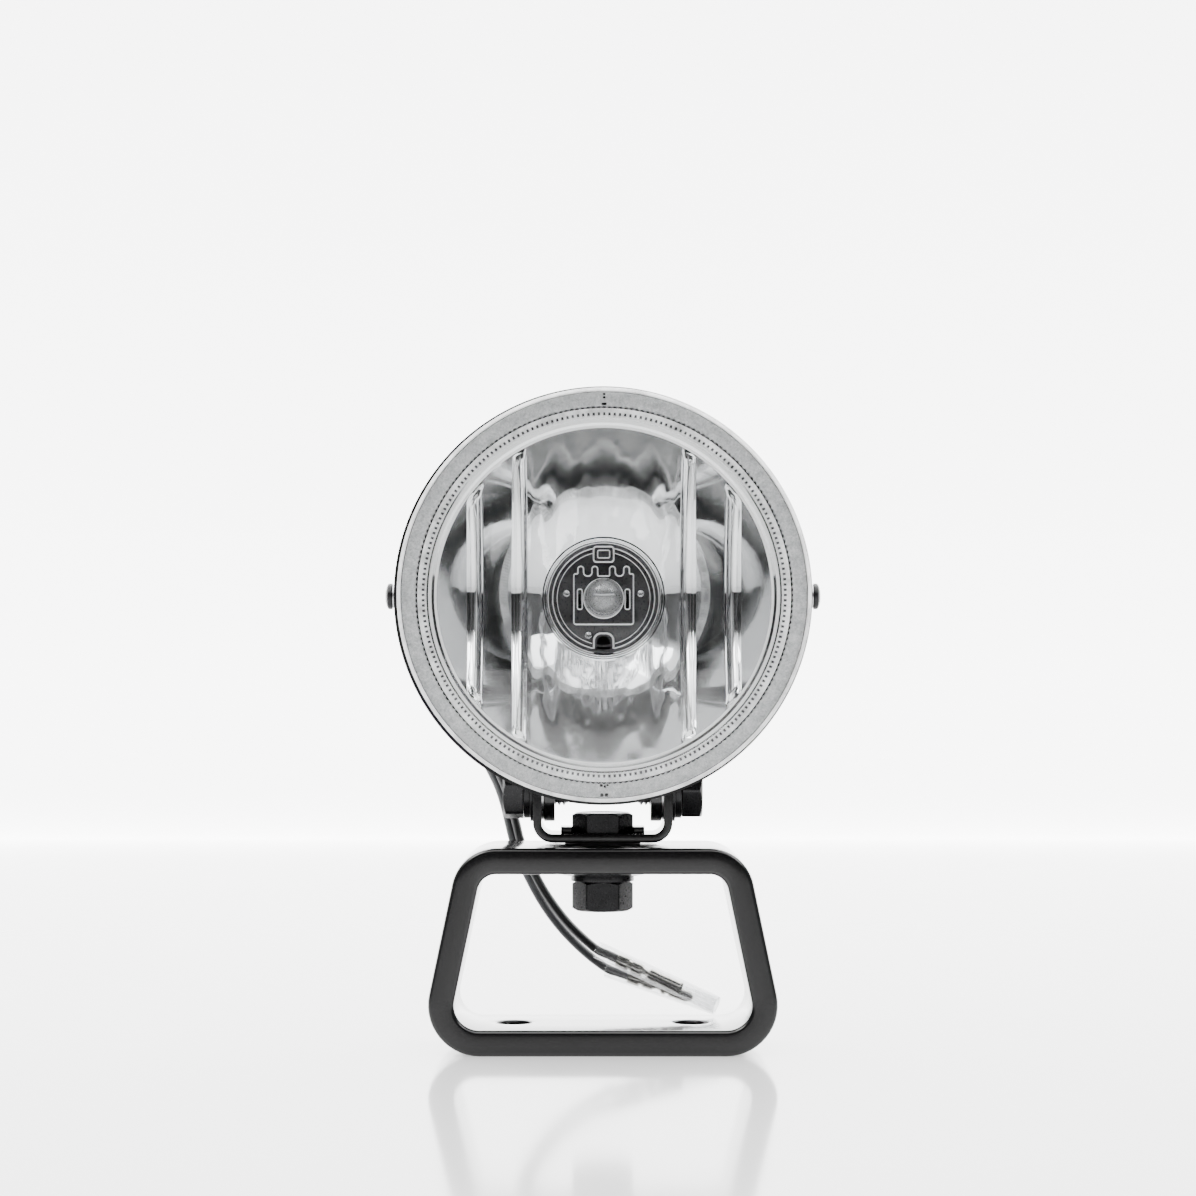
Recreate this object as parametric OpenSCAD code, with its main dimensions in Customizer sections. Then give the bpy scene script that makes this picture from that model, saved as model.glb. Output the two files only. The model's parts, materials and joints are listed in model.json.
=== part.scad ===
// Round fog light on a tilting, swivelling U bracket and a loop-shaped stand.
// The origin is the middle of the stand's underside. +Z is up and the lamp faces -Y.
// Every size is in millimetres.

/* [Stand] */
// Greatest width of the loop, across its lower corners
stand_w = 108.6; // [100:0.2:120]
// Width of the loop across its upper corners
stand_top_w = 94.2; // [88:0.2:98]
// Height of the loop
stand_h = 64.6; // [62:0.2:66]
// Front-to-back depth of the loop
stand_depth = 45; // [36:1:50]
// Thickness of the loop's wall
stand_wall = 8.1; // [7:0.1:9]
// Outer radius of the lower corners
stand_low_r = 16; // [14:0.5:18]
// Outer radius of the upper corners
stand_high_r = 14; // [12:0.5:16]
// Diameter of the two fixing holes in the bottom plate
fix_hole_d = 11; // [9:0.5:13]
// Distance between the two fixing holes
fix_hole_gap = 56; // [50:1:62]
// Diameter of the round boss in the top bar
boss_d = 37; // [32:1:40]

/* [U bracket] */
// Outside width across the arms
yoke_w = 43.8; // [43:0.1:45]
// Thickness of the bent steel
yoke_t = 2.7; // [2:0.1:3]
// Front-to-back width of the steel strip
yoke_depth = 22; // [20:1:22]
// Outside radius of the two bends
yoke_bend_r = 6.3; // [5:0.1:8]
// Height of the tilt axis above the ground
tilt_z = 82; // [81:0.5:84]
// Height of the two locking tabs beside the central bolt's head
tab_h = 2; // [1:0.2:2.4]

/* [Fasteners] */
// Thread diameter of the central bolt and the two pivot bolts
bolt_d = 10; // [9:0.5:10]
// Width across the flats of their heads and the nut
bolt_af = 17; // [16:0.5:18]
// Height of a bolt head
head_h = 6.4; // [5:0.2:7]
// Height of the nut
nut_h = 9.4; // [8:0.2:10]
// Diameter of the side screws' heads
side_head_d = 8; // [6:0.5:9]

/* [Lamp] */
// Height of the lamp's axis above the ground
lamp_z = 142.6; // [141:0.2:145]
// Outside radius of the housing's rim
rim_r = 64.1; // [64:0.1:65]
// Greatest radius of the housing's bowl
bowl_r = 54; // [53:0.5:55]
// Depth of the housing's bowl, as the half axis of its ellipse
bowl_depth = 50; // [46:1:54]
// Thickness of the housing's wall
shell_wall = 1.6; // [1.2:0.1:2]
// Radius of the front glass
glass_r = 63.4; // [63:0.1:63.6]
// Sideways offset of the optical unit in its rim
unit_shift_x = 0.35; // [0:0.05:0.5]
// Upward offset of the optical unit in its rim
unit_shift_z = 0.2; // [0:0.05:0.5]

/* [Reflector and bulb] */
// Focal length of the reflector's bowl
focal = 20; // [18:0.5:22]
// Radius of the reflector's mouth
mouth_r = 51.5; // [50:0.5:52]
// Radius of the opening round the bulb
neck_r = 19.5; // [19:0.1:20]
// Distance of the inner pair of upright ribs from the middle
rib_inner_x = 26; // [24:0.5:28]
// Distance of the outer pair of upright ribs from the middle
rib_outer_x = 39.5; // [37:0.5:42]
// Width of a rib
rib_w = 4; // [3:0.2:5]
// Radius of the bulb's glass
bulb_r = 5.75; // [5:0.05:6]

/* [Leads] */
// Diameter of each lead
lead_d = 2.9; // [2:0.1:3]
// Outside diameter of the clear sleeve on each terminal
sleeve_d = 5.7; // [5:0.1:5.8]

/* [Hidden] */
$fn = 96;
fit = 0.05;                                  // radial clearance of a bolt in its hole
join = 0.2;                                  // depth by which joined shapes run into each other
past = 1;                                    // how far a cut runs past the solid it cuts
low_x = stand_w / 2 - stand_low_r;           // centres of the loop's corner arcs
high_x = stand_top_w / 2 - stand_high_r;
high_z = stand_h - stand_high_r;
side_run = [low_x - high_x, high_z - stand_low_r];
side_lean = atan2(side_run.x, side_run.y) + asin((stand_low_r - stand_high_r) / norm(side_run));
boss_top = stand_h + 0.5;
boss_under = stand_h - stand_wall - 1.7;
boss_under_r = bolt_af / 2 + 2.5;

pad_t = 0.6;
pad_d = 24;
yoke_z = boss_top + pad_t;                   // underside of the U bracket
yoke_floor = yoke_z + yoke_t;
yoke_in = yoke_w / 2 - yoke_t;               // inner face of an arm
tab_x = bolt_af / 2 + 1;                     // inner face of a locking tab
tab_w = 3.7;
tab_l = 10;

disc_t = 0.6;                                // stack on each pivot bolt, from the inside out
lug_out = yoke_in - disc_t;
lug_t = 3.5;
lug_in = lug_out - lug_t;
lug_r = 10;
lug_rise = 24;                               // the lugs and the web run up into the housing's bowl
web_z = tilt_z + 5.4;                        // underside of the saddle's web
web_rise = 12;
web_depth = 16;
bolt_tip_x = lug_in - 4.1;
head_turns = [89, 78.5];                     // turn of the right and the left pivot bolt's head
disc_r = 9.4;
flat_t = 1;
spring_t = 2.2;
flat_x = yoke_w / 2;
spring_x = flat_x + flat_t;
head_x = spring_x + spring_t;
washer_d = 20;
washer_play = 0.25;                          // radial play of a washer or disc round its bolt
spring_d = 18;
split_w = 1.2;                               // gap of a spring washer
swivel_washer_t = 1.7;
nut_top = boss_under - swivel_washer_t;

front_z = 33;                                // lamp depths are forward of the tilt axis
rim_back = 21;
bowl_z = 13;                                 // widest place of the bowl's ellipse
bowl_turn = 76;                              // where the ellipse meets the flat back
back_z = bowl_z - bowl_depth * sin(bowl_turn);
rim_wall = 1.2;
side_screw_z = 25;
screw_r = 2.05;
screw_reach = 8.5;
collar_r = 3.5;
collar_t = 0.8;
side_head_h = 2.2;
side_head_round = 1.2;
nut_clip = [5.8, 10, 1.2];
gasket_r = 60.2;
gasket_t = 1.1;
breather_r = 2.4;

flange_z = 29.4;                             // front of the reflector's flange
flange_t = 1.3;
flange_r = 62.3;
skirt_wall = 1.3;
skirt_back = 22;
spigot_r = 57.2;                             // the glass's rear spigot
spigot_wall = 2.4;
glass_back = 33.1;
glass_front = 36;
glass_crown = 1.2;
glass_t = 3;
vertex_z = -4.5;
neck_back = -6.5;
neck_wall = 1.5;
rib_h = 2.6;

plate_z = -5.3;                              // front of the bulb holder's disc
plate_r = 17.9;
plate_hole_r = 7.4;
tab_size = [6.7, 5.1, 1.2];                  // the disc's top tab
tab_low = 11.4;
notch_w = 4.2;                               // the disc's bottom notch
notch_y = -13.3;
base_flange_r = 7.25;
base_r = 6.9;
base_l = 4;
blade = [6.2, 0.8, 6];
blade_end = 10;                              // the blade's far end, behind the disc's front
connector = [8.8, 5.2, 7.6];
connector_end = 12;                          // the connector's far end, behind the disc's front
clip_w = 19.4;
clip_h = 18.6;
clip_t = 0.8;
clip_z = plate_z + 0.6;
glass_tip = 20.5;
rivets = [[-11.8, 1.6], [11.8, 1.6], [-4.8, -11.7]];

gland = [-39, 12];                           // where the leads leave the housing, from above
gland_low = 107.6;                           // lower end of the housing's cable boss
gland_boss_top = 131;
gland_boss_r = 5.9;
gland_bore_r = 4.5;
grommet_end = 100;                           // lower end of the grommet
grommet_flange_r = 5.4;
grommet_flange_t = 1.6;
grommet_plug = 5;                            // length of the plug inside the boss
pigtail_d = 2.4;

// Route of the black lead, from the grommet to its terminal
black_route = [
  [-37.5, 12, 99.95], [-37.5, 12, 97.6], [-36, 15, 92.5], [-33.8, 19.6, 87.4], [-31.7, 24.6, 82],
  [-29.9, 29.2, 76], [-28.4, 33, 70], [-27, 35.4, 64], [-24.8, 36, 58], [-22, 35.6, 52.4],
  [-18.9, 34.6, 47], [-15.4, 33, 42], [-11.4, 31, 37.2], [-6.6, 28.4, 32.6], [-1.8, 26, 28.8],
  [1.7, 24.7, 27.3], [5.2, 23.4, 25.8]];
// Route of the grey lead
grey_route = [
  [-40.5, 12, 99.95], [-40.5, 12, 97.6], [-38.7, 16.4, 92.5], [-36.2, 21.6, 87.4], [-33.9, 26.9, 82],
  [-32.1, 31.5, 76], [-30.8, 35.2, 70], [-29.4, 37.5, 64], [-27.3, 38.6, 58], [-24.7, 38.6, 52.4],
  [-21.8, 38.2, 46.8], [-18.3, 37, 41.2], [-14, 35.6, 35.6], [-9, 33.6, 30.4], [-3.6, 31.2, 25.8],
  [1.8, 28.9, 22.2], [5.3, 27.8, 21.1], [8.8, 26.7, 20]];
// Ends of the clear sleeves; each lead's last stretch lies on its sleeve's axis
black_end = [36.7, 11.7, 12.3];
grey_end = [36.8, 17.9, 11.2];
sleeve_wall = 0.5;
crimp_from = 7.8;                            // distance from a sleeve's start to its lead's cut end

// Routes of the two short wires inside the housing
feed_route = [
  [0, 17.35, 142.6], [0, 19.5, 142.6], [-1.6, 22.6, 142.2], [-5.4, 25.4, 141], [-11, 26.5, 138],
  [-18, 25.5, 134], [-25, 22.5, 130], [-31, 19, 127], [-36, 15.5, 124.5], [-39.8, 12.8, 121.5],
  [-40.5, 12, 118], [-40.5, 12, 112.65]];
earth_route = [
  [-4.5, 8.4, 128], [-5.3, 9.4, 125.4], [-9, 12, 123.2], [-14.5, 14.5, 122], [-21, 16, 121.8],
  [-28, 16, 121.8], [-34, 14.5, 121.5], [-36.9, 12.6, 119.6], [-37.5, 12, 117], [-37.5, 12, 112.65]];

// ---------- shared shapes ----------

// Local +Z points out of the lamp's front and local +Y points up.
module lamp_frame() translate([0, 0, lamp_z]) rotate([90, 0, 0]) children();

// The optical unit sits slightly off centre in the rim.
module unit_frame() lamp_frame() translate([unit_shift_x, unit_shift_z]) children();

// Both sides of the lamp, mirrored across its middle plane.
module both_sides() for (side = [0, 1]) mirror([side, 0, 0]) children();

// Local +Z points outwards along +X at the tilt axis.
module pivot_frame(x) translate([x, 0, tilt_z]) rotate([90, 0, 90]) children();

// Local +Z runs from one point towards another.
module along(from, to) {
  run = to - from;
  translate(from) rotate([0, acos(run.z / norm(run)), atan2(run.y, run.x)]) children();
}

module ring(outer_r, inner_r, height)
  difference() {
    cylinder(r = outer_r, h = height);
    translate([0, 0, -1]) cylinder(r = inner_r, h = height + 2);
  }

// Hexagonal head or nut with both faces chamfered.
module hex_body(height, chamfer_low = true) {
  corner = bolt_af / sqrt(3);
  cut = 0.9;
  drop = cut * tan(30);
  low = chamfer_low ? cut : 0;
  intersection() {
    cylinder(r = corner, h = height, $fn = 6);
    rotate_extrude()
      polygon([[0, 0], [corner - low, 0], [corner, low * tan(30)], [corner, height - drop],
               [corner - cut, height], [0, height]]);
  }
}

module bolt(length) {
  hex_body(head_h, false);
  translate([0, 0, -length])
    rotate_extrude()
      polygon([[0, 0], [bolt_d / 2 - 1, 0], [bolt_d / 2, 1], [bolt_d / 2, length], [0, length]]);
}

// Split spring washer, its gap facing the given direction.
module split_washer(gap_turn)
  difference() {
    ring(spring_d / 2, bolt_d / 2 + 0.2, spring_t);
    rotate([0, 0, gap_turn])
      translate([bolt_d / 2 - past, -split_w / 2, -past])
        rotate([0, 0, 12]) cube([spring_d / 2, split_w, spring_t + 2 * past]);
  }

// Tube swept along a route: one eight-sided ring at each point, square to the path there.
// The reference direction, never parallel to the path, keeps the rings from twisting.
function path_dir(p, i) = let (d = p[min(i + 1, len(p) - 1)] - p[max(i - 1, 0)]) d / norm(d);
function ring_at(centre, dir, r, ref) =
  let (side = cross(dir, ref), u = side / norm(side), v = cross(dir, u))
  [for (k = [0:7]) centre + r * (cos(45 * k) * u + sin(45 * k) * v)];
module swept_wire(p, d, ref) {
  last = 8 * (len(p) - 1);
  points = [for (i = [0:len(p) - 1]) each ring_at(p[i], path_dir(p, i), d / 2, ref)];
  walls = [for (i = [0:len(p) - 2], k = [0:7])
    [8 * i + k, 8 * i + 8 + k, 8 * i + 8 + (k + 1) % 8, 8 * i + (k + 1) % 8]];
  caps = [[for (k = [0:7]) k], [for (k = [7:-1:0]) last + k]];
  polyhedron(points, concat(walls, caps));
}

// ---------- stand ----------

// The loop's outline, pulled in by a distance: four arcs joined by their common tangents.
module loop_outline(inset) {
  low_r = stand_low_r - inset;
  high_r = stand_high_r - inset;
  tangent = [cos(side_lean), sin(side_lean)];
  half = [
    [low_x, inset], [low_x, stand_low_r] + low_r * tangent, [high_x, high_z] + high_r * tangent,
    [high_x, stand_h - inset]];
  polygon(concat(half, [for (i = [3:-1:0]) [-half[i].x, half[i].y]]));
  for (side = [-1, 1]) {
    translate([side * low_x, stand_low_r]) circle(r = low_r);
    translate([side * high_x, high_z]) circle(r = high_r);
  }
}

module stand()
  color("#1c1c1e")
    difference() {
      union() {
        rotate([90, 0, 0])
          linear_extrude(stand_depth, center = true)
            difference() {
              loop_outline(0);
              loop_outline(stand_wall);
            }
        translate([0, 0, stand_h - join])
          cylinder(r1 = boss_d / 2, r2 = pad_d / 2 + 1, h = boss_top - stand_h + join);
        translate([0, 0, boss_under])
          cylinder(r1 = boss_under_r, r2 = boss_d / 2, h = stand_h - stand_wall - boss_under + join);
      }
      translate([0, 0, boss_under - past])
        cylinder(d = bolt_d + 2 * fit, h = boss_top - boss_under + 2 * past);
      for (side = [-1, 1])
        translate([side * fix_hole_gap / 2, 0, -past]) cylinder(d = fix_hole_d, h = stand_wall + 2 * past);
    }

module swivel_pad()
  color("#101011") translate([0, 0, boss_top]) ring(pad_d / 2, bolt_d / 2 + fit, pad_t);

// ---------- U bracket and its central bolt ----------

// Upright slab with two rounded lower corners.
module trough_outline(half_w, low, r) {
  translate([-half_w, low + r]) square([2 * half_w, tilt_z]);
  translate([r - half_w, low]) square([2 * (half_w - r), r]);
  for (side = [-1, 1]) translate([side * (half_w - r), low + r]) circle(r = r);
}

module yoke()
  color("#18181a")
    difference() {
      union() {
        intersection() {
          rotate([90, 0, 0])
            linear_extrude(yoke_depth, center = true)
              difference() {
                trough_outline(yoke_w / 2, yoke_z, yoke_bend_r);
                trough_outline(yoke_in, yoke_floor, yoke_bend_r - yoke_t);
              }
          rotate([90, 0, 90])
            linear_extrude(yoke_w + 2, center = true)
              union() {
                translate([-yoke_depth / 2, 0]) square([yoke_depth, tilt_z]);
                translate([0, tilt_z]) circle(d = yoke_depth);
              }
        }
        both_sides() translate([tab_x, -tab_l / 2, yoke_floor - join]) cube([tab_w, tab_l, tab_h + join]);
      }
      translate([0, 0, yoke_z - past]) cylinder(d = bolt_d + 2 * fit, h = yoke_t + 2 * past);
      pivot_frame(-yoke_w) cylinder(d = bolt_d + 2 * fit, h = 2 * yoke_w);
    }

module swivel_bolt()
  color("#202022")
    translate([0, 0, yoke_floor]) rotate([0, 0, 30]) bolt(yoke_floor - nut_top + nut_h);

module swivel_washer()
  color("#2a2a2c")
    translate([0, 0, nut_top]) ring(washer_d / 2, bolt_d / 2 + washer_play, swivel_washer_t);

module swivel_nut()
  color("#202022")
    translate([0, 0, nut_top - nut_h])
      difference() {
        rotate([0, 0, 30]) hex_body(nut_h);
        translate([0, 0, -1]) cylinder(d = bolt_d, h = nut_h + 2);
      }

// ---------- pivot bolts and the lamp's lugs ----------

module housing_solid()
  rotate_extrude()
    polygon(concat(
      [[0, front_z], [rim_r, front_z], [rim_r, rim_back]],
      [for (a = [0:4:bowl_turn]) [bowl_r * cos(a), bowl_z - bowl_depth * sin(a)]],
      [[0, back_z]]));

module saddle()
  color("#1d1d1f")
    difference() {
      union() {
        both_sides()
          pivot_frame(lug_in)
            linear_extrude(lug_t)
              union() {
                circle(r = lug_r);
                translate([-lug_r, 0]) square([2 * lug_r, lug_rise]);
              }
        translate([-lug_in - past, -web_depth / 2, web_z]) cube([2 * (lug_in + past), web_depth, web_rise]);
      }
      lamp_frame() housing_solid();
      pivot_frame(-yoke_w) cylinder(d = bolt_d, h = 2 * yoke_w);
    }

module pivot_bolts()
  color("#232325")
    for (side = [0, 1])
      mirror([side, 0, 0])
        pivot_frame(head_x)
          rotate([0, 0, head_turns[side]]) bolt(head_x - bolt_tip_x);

module pivot_spring_washers()
  color("#3a3a3c") both_sides() pivot_frame(spring_x) split_washer(140);

module pivot_flat_washers()
  color("#2c2c2e") both_sides() pivot_frame(flat_x) ring(washer_d / 2, bolt_d / 2 + washer_play, flat_t);

module pivot_discs()
  color("#8c8c90") both_sides() pivot_frame(lug_out) ring(disc_r, bolt_d / 2 + washer_play, disc_t);

// ---------- housing ----------

module housing()
  color("#161617")
    difference() {
      union() {
        lamp_frame() housing_solid();
        translate([gland.x, gland.y, gland_low]) cylinder(r = gland_boss_r, h = gland_boss_top - gland_low);
      }
      lamp_frame()
        rotate_extrude()
          polygon(concat(
            [[0, front_z + 1], [rim_r - rim_wall, front_z + 1], [rim_r - rim_wall, rim_back + 0.7]],
            [for (a = [0:4:bowl_turn])
              [(bowl_r - shell_wall) * cos(a), bowl_z - (bowl_depth - shell_wall) * sin(a)]],
            [[0, bowl_z - (bowl_depth - shell_wall) * sin(bowl_turn)]]));
      translate([gland.x, gland.y, gland_low - past])
        cylinder(r = gland_bore_r, h = gland_boss_top - gland_low);
      lamp_frame() {
        translate([0, 0, side_screw_z])
          rotate([0, 90, 0]) cylinder(r = screw_r + 0.55, h = 2 * (rim_r + past), center = true);
        translate([0, 0, back_z - 1]) cylinder(r = breather_r + 0.1, h = 6);
      }
    }

// Both side screws' axis: local +Z points outwards along +X.
module side_frame(x) lamp_frame() translate([x, 0, side_screw_z]) rotate([0, 90, 0]) children();

module side_screws()
  color("#151516")
    both_sides()
      side_frame(rim_r + collar_t)
        union() {
          rotate_extrude()
            polygon(concat(
              [[0, 0], [side_head_d / 2, 0], [side_head_d / 2, side_head_h - side_head_round]],
              [for (a = [0:10:80])
                [side_head_d / 2 - side_head_round * (1 - cos(a)), side_head_h - side_head_round * (1 - sin(a))]],
              [[0, side_head_h]]));
          translate([0, 0, -screw_reach]) cylinder(r = screw_r, h = screw_reach + 0.1);
        }

module side_collars()
  color("#8f8f93") both_sides() side_frame(rim_r) ring(collar_r, screw_r + 0.1, collar_t);

module nut_clips()
  color("#9a9ca0")
    both_sides()
      side_frame(flange_r - skirt_wall - 2.1)
        difference() {
          translate([-nut_clip.x / 2, -nut_clip.y / 2, 0]) cube(nut_clip);
          translate([0, 0, -past]) cylinder(r = screw_r + fit, h = nut_clip.z + 2 * past);
        }

module rim_gasket()
  color("#0d0d0e")
    unit_frame()
      rotate_extrude()
        translate([0, skirt_back - 0.1])
          polygon([[gasket_r, -gasket_t], [gasket_r + 0.5, -gasket_t], [flange_r - 0.4, 0], [gasket_r, 0]]);

module grommet()
  color("#111112")
    translate([gland.x, gland.y, 0])
      union() {
        translate([0, 0, gland_low - grommet_flange_t]) cylinder(r = grommet_flange_r, h = grommet_flange_t);
        translate([0, 0, gland_low - 0.2]) cylinder(r = gland_bore_r - 0.1, h = grommet_plug + 0.2);
        translate([0, 0, grommet_end])
          cylinder(r1 = 3.6, r2 = 4.6, h = gland_low - grommet_flange_t + 0.1 - grommet_end);
      }

module breather()
  color("#121213")
    lamp_frame()
      union() {
        translate([0, 0, back_z - 3]) cylinder(r1 = 4.2, r2 = 5, h = 3);
        translate([0, 0, back_z - 0.1]) cylinder(r = breather_r, h = 3.6);
      }

// ---------- glass and reflector ----------

function crown(r) = glass_crown * (1 - pow(r / spigot_r, 2));

module front_glass()
  color("#dfe6ea", 0.35)
    unit_frame()
      rotate_extrude()
        polygon(concat(
          [for (r = [0:9:54]) [r, glass_front - glass_t + crown(r)]],
          [[spigot_r - spigot_wall, glass_back - 0.1], [spigot_r - spigot_wall, flange_z + 0.1],
           [spigot_r, flange_z + 0.1], [spigot_r, glass_back], [glass_r - 1.2, glass_back],
           [glass_r - 0.3, glass_back + 0.4], [glass_r, glass_back + 1.1], [glass_r - 0.1, glass_front - 0.8],
           [glass_r - 0.5, glass_front - 0.2], [glass_r - 1.1, glass_front], [spigot_r, glass_front]],
          [for (r = [54:-9:0]) [r, glass_front + crown(r)]]));

module bonding_ring()
  color("#b4b6b8")
    unit_frame()
      translate([0, 0, flange_z]) ring(flange_r - 0.1, spigot_r + 0.1, glass_back - flange_z - 0.05);

function bowl_at(r) = vertex_z + r * r / (4 * focal);

// Vertical ridge that stands on the bowl's surface.
module rib(x)
  intersection() {
    rotate_extrude()
      polygon(concat(
        [for (r = [neck_r + 1:6:mouth_r - 1]) [r, bowl_at(r) - 0.4]],
        [[mouth_r - 0.8, bowl_at(mouth_r - 0.8) - 0.4], [mouth_r - 0.8, bowl_at(mouth_r - 0.8) + 0.4]],
        [for (r = [mouth_r - 3:-6:neck_r + 1]) [r, bowl_at(r) + rib_h]]));
    translate([x - rib_w / 2, -mouth_r, neck_back]) cube([rib_w, 2 * mouth_r, 40]);
  }

module reflector()
  color("#d8dadd")
    unit_frame()
      difference() {
        union() {
          rotate_extrude()
            polygon(concat(
              [[neck_r, neck_back], [neck_r, bowl_at(neck_r)]],
              [for (r = [neck_r + 4:4:mouth_r]) [r, bowl_at(r)]],
              [[mouth_r, bowl_at(mouth_r)], [mouth_r + 2.2, flange_z], [flange_r, flange_z],
               [flange_r, skirt_back], [flange_r - skirt_wall, skirt_back],
               [flange_r - skirt_wall, flange_z - flange_t], [mouth_r + 1.8, flange_z - flange_t]],
              [for (r = [mouth_r:-4:neck_r + neck_wall + 2]) [r, bowl_at(r) - 2]],
              [[neck_r + neck_wall, bowl_at(neck_r + neck_wall) - 2], [neck_r + neck_wall, neck_back]]));
          for (x = [rib_inner_x, rib_outer_x], side = [-1, 1]) rib(side * x);
        }
        translate([0, 0, side_screw_z])
          rotate([0, 90, 0]) cylinder(r = screw_r + 0.65, h = 2 * rim_r, center = true);
      }

// ---------- bulb and its holder ----------

module bulb_holder()
  color("#1a1a1b")
    unit_frame()
      difference() {
        union() {
          translate([0, 0, plate_z - 1]) cylinder(r = plate_r - 0.1, h = 1);
          translate([0, 0, plate_z - 1]) ring(plate_r, plate_r - 1.6, 2.1);
          translate([-tab_size.x / 2, tab_low, plate_z - 0.1]) cube(tab_size + [0, 0, 0.1]);
        }
        translate([0, 0, plate_z - 2]) cylinder(r = plate_hole_r, h = 4);
        translate([-notch_w / 2, -plate_r - past, plate_z - 2]) cube([notch_w, plate_r + past + notch_y, 4]);
        translate([0, notch_y, plate_z - 2]) cylinder(d = notch_w, h = 4);
        for (at = rivets) translate([at.x, at.y, plate_z - 2]) cylinder(r = 0.8, h = 4);
      }

module holder_ring()
  color("#c9ccd0") unit_frame() translate([0, 0, neck_back + 0.2]) ring(neck_r - 0.15, plate_r + 0.15, 3.2);

module holder_rivets()
  color("#55575a")
    unit_frame()
      for (at = rivets)
        translate([at.x, at.y, plate_z])
          union() {
            cylinder(r1 = 1.3, r2 = 0.8, h = 0.8);
            translate([0, 0, -1.8]) cylinder(r = 0.75, h = 1.9);
          }

// Spring plate over the bulb's flange, with four fingers at its top.
module bulb_clip()
  color("#2b2c2e")
    unit_frame()
      translate([0, 1, clip_z])
        difference() {
          translate([-clip_w / 2, -clip_h / 2, 0]) cube([clip_w, clip_h, clip_t]);
          translate([0, -1, -1]) cylinder(r = bulb_r + 0.35, h = 4);
          for (side = [-1, 1]) {
            translate([side * 5.4, clip_h / 2, -1]) cylinder(r = 1.3, h = 4);
            translate([side * 7.4 - 0.8, -4.5, -1]) cube([1.6, 6.4, 4]);
          }
          translate([-2.2, clip_h / 2 - 2.6, -1]) cube([4.4, 4, 4]);
        }

module bulb_base()
  color("#a9abae")
    unit_frame()
      union() {
        translate([0, 0, plate_z]) cylinder(r = base_flange_r, h = clip_z - plate_z);
        translate([0, 0, plate_z - base_l]) cylinder(r = base_r, h = base_l + 0.1);
      }

module bulb_blade()
  color("#c2c4c6") unit_frame() translate([-blade.x / 2, -blade.y / 2, plate_z - blade_end]) cube(blade);

module bulb_glass()
  color("#e8eef0", 0.35)
    unit_frame()
      rotate_extrude()
        polygon(concat(
          [[bulb_r - 0.8, clip_z], [bulb_r, clip_z]],
          [for (a = [0:10:90]) [bulb_r * cos(a), glass_tip - 4.5 + 4.5 * sin(a)]],
          [for (a = [90:-10:0]) [(bulb_r - 0.8) * cos(a), glass_tip - 4.5 + 3.7 * sin(a)]]));

module filament_posts()
  color("#b9bbbd")
    unit_frame()
      for (side = [-1, 1])
        translate([side * 2.6, 0, clip_z]) cylinder(r = 0.3, h = vertex_z + focal - clip_z - 0.6);

module filament()
  color("#d9d9d9")
    unit_frame()
      translate([0, 0, vertex_z + focal]) rotate([0, 90, 0]) cylinder(r = 0.6, h = 5.6, center = true);

module feed_connector()
  color("#ececec")
    unit_frame()
      translate([-connector.x / 2, -connector.y / 2, plate_z - connector_end])
        difference() {
          cube(connector);
          translate([1.2, connector.y / 2 - 0.5, 2]) cube([connector.x - 2.4, 1, connector.z]);
        }

module earth_ring()
  color("#c8b884")
    unit_frame()
      translate([rivets[2].x, rivets[2].y, plate_z - 1.7])
        difference() {
          union() {
            cylinder(r = 2.6, h = 0.7);
            translate([-1.4, -6, 0]) cube([2.8, 4.5, 0.7]);
          }
          translate([0, 0, -1]) cylinder(r = 0.8, h = 4);
        }

module feed_pigtail() color("#3c3d40") swept_wire(feed_route, pigtail_d, [-1, 0, 2]);

module earth_pigtail() color("#141415") swept_wire(earth_route, pigtail_d, [-1, 0, 2]);

// ---------- leads ----------

module lead_black() color("#161617") swept_wire(black_route, lead_d, [0, 1, 0]);

module lead_grey() color("#3b3b3e") swept_wire(grey_route, lead_d, [0, 1, 0]);

// Where a clear sleeve starts: back along its axis from the lead's cut end.
function sleeve_start(route, end) =
  let (tip = route[len(route) - 1], back = tip - end) tip + crimp_from * back / norm(back);

// Crimp, neck and barrel of a terminal, starting at the lead's cut end.
module crimp() {
  cylinder(r = 2.2, h = 4.4);
  translate([0, 0, 4.3]) cylinder(r = 1.95, h = 4.6);
  translate([0, 0, 8.8]) cylinder(r1 = 1.6, r2 = 1.1, h = 2.6);
}

module socket_terminal()
  color("#b7b4a8")
    along(black_route[len(black_route) - 1], black_end)
      difference() {
        union() {
          crimp();
          translate([0, 0, 11.3]) cylinder(r = 1.95, h = 11.8);
        }
        translate([0, 0, 13]) cylinder(r = 1.6, h = 12);
        translate([-3, -0.3, 18]) cube([3, 0.6, 6]);
      }

module bullet_terminal()
  color("#b7b4a8")
    along(grey_route[len(grey_route) - 1], grey_end)
      union() {
        crimp();
        translate([0, 0, 11.3]) cylinder(r = 1.95, h = 2);
        translate([0, 0, 13.2]) cylinder(r = 1.4, h = 1.4);
        translate([0, 0, 14.5]) cylinder(r = 1.95, h = 6);
        translate([0, 0, 20.4]) cylinder(r1 = 1.95, r2 = 1, h = 2);
      }

module clear_sleeve(route, end) {
  start = sleeve_start(route, end);
  along(start, end) ring(sleeve_d / 2, sleeve_d / 2 - sleeve_wall, norm(end - start));
}

module socket_sleeve() color("#e6e8ea", 0.4) clear_sleeve(black_route, black_end);

module bullet_sleeve() color("#e6e8ea", 0.4) clear_sleeve(grey_route, grey_end);

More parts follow.
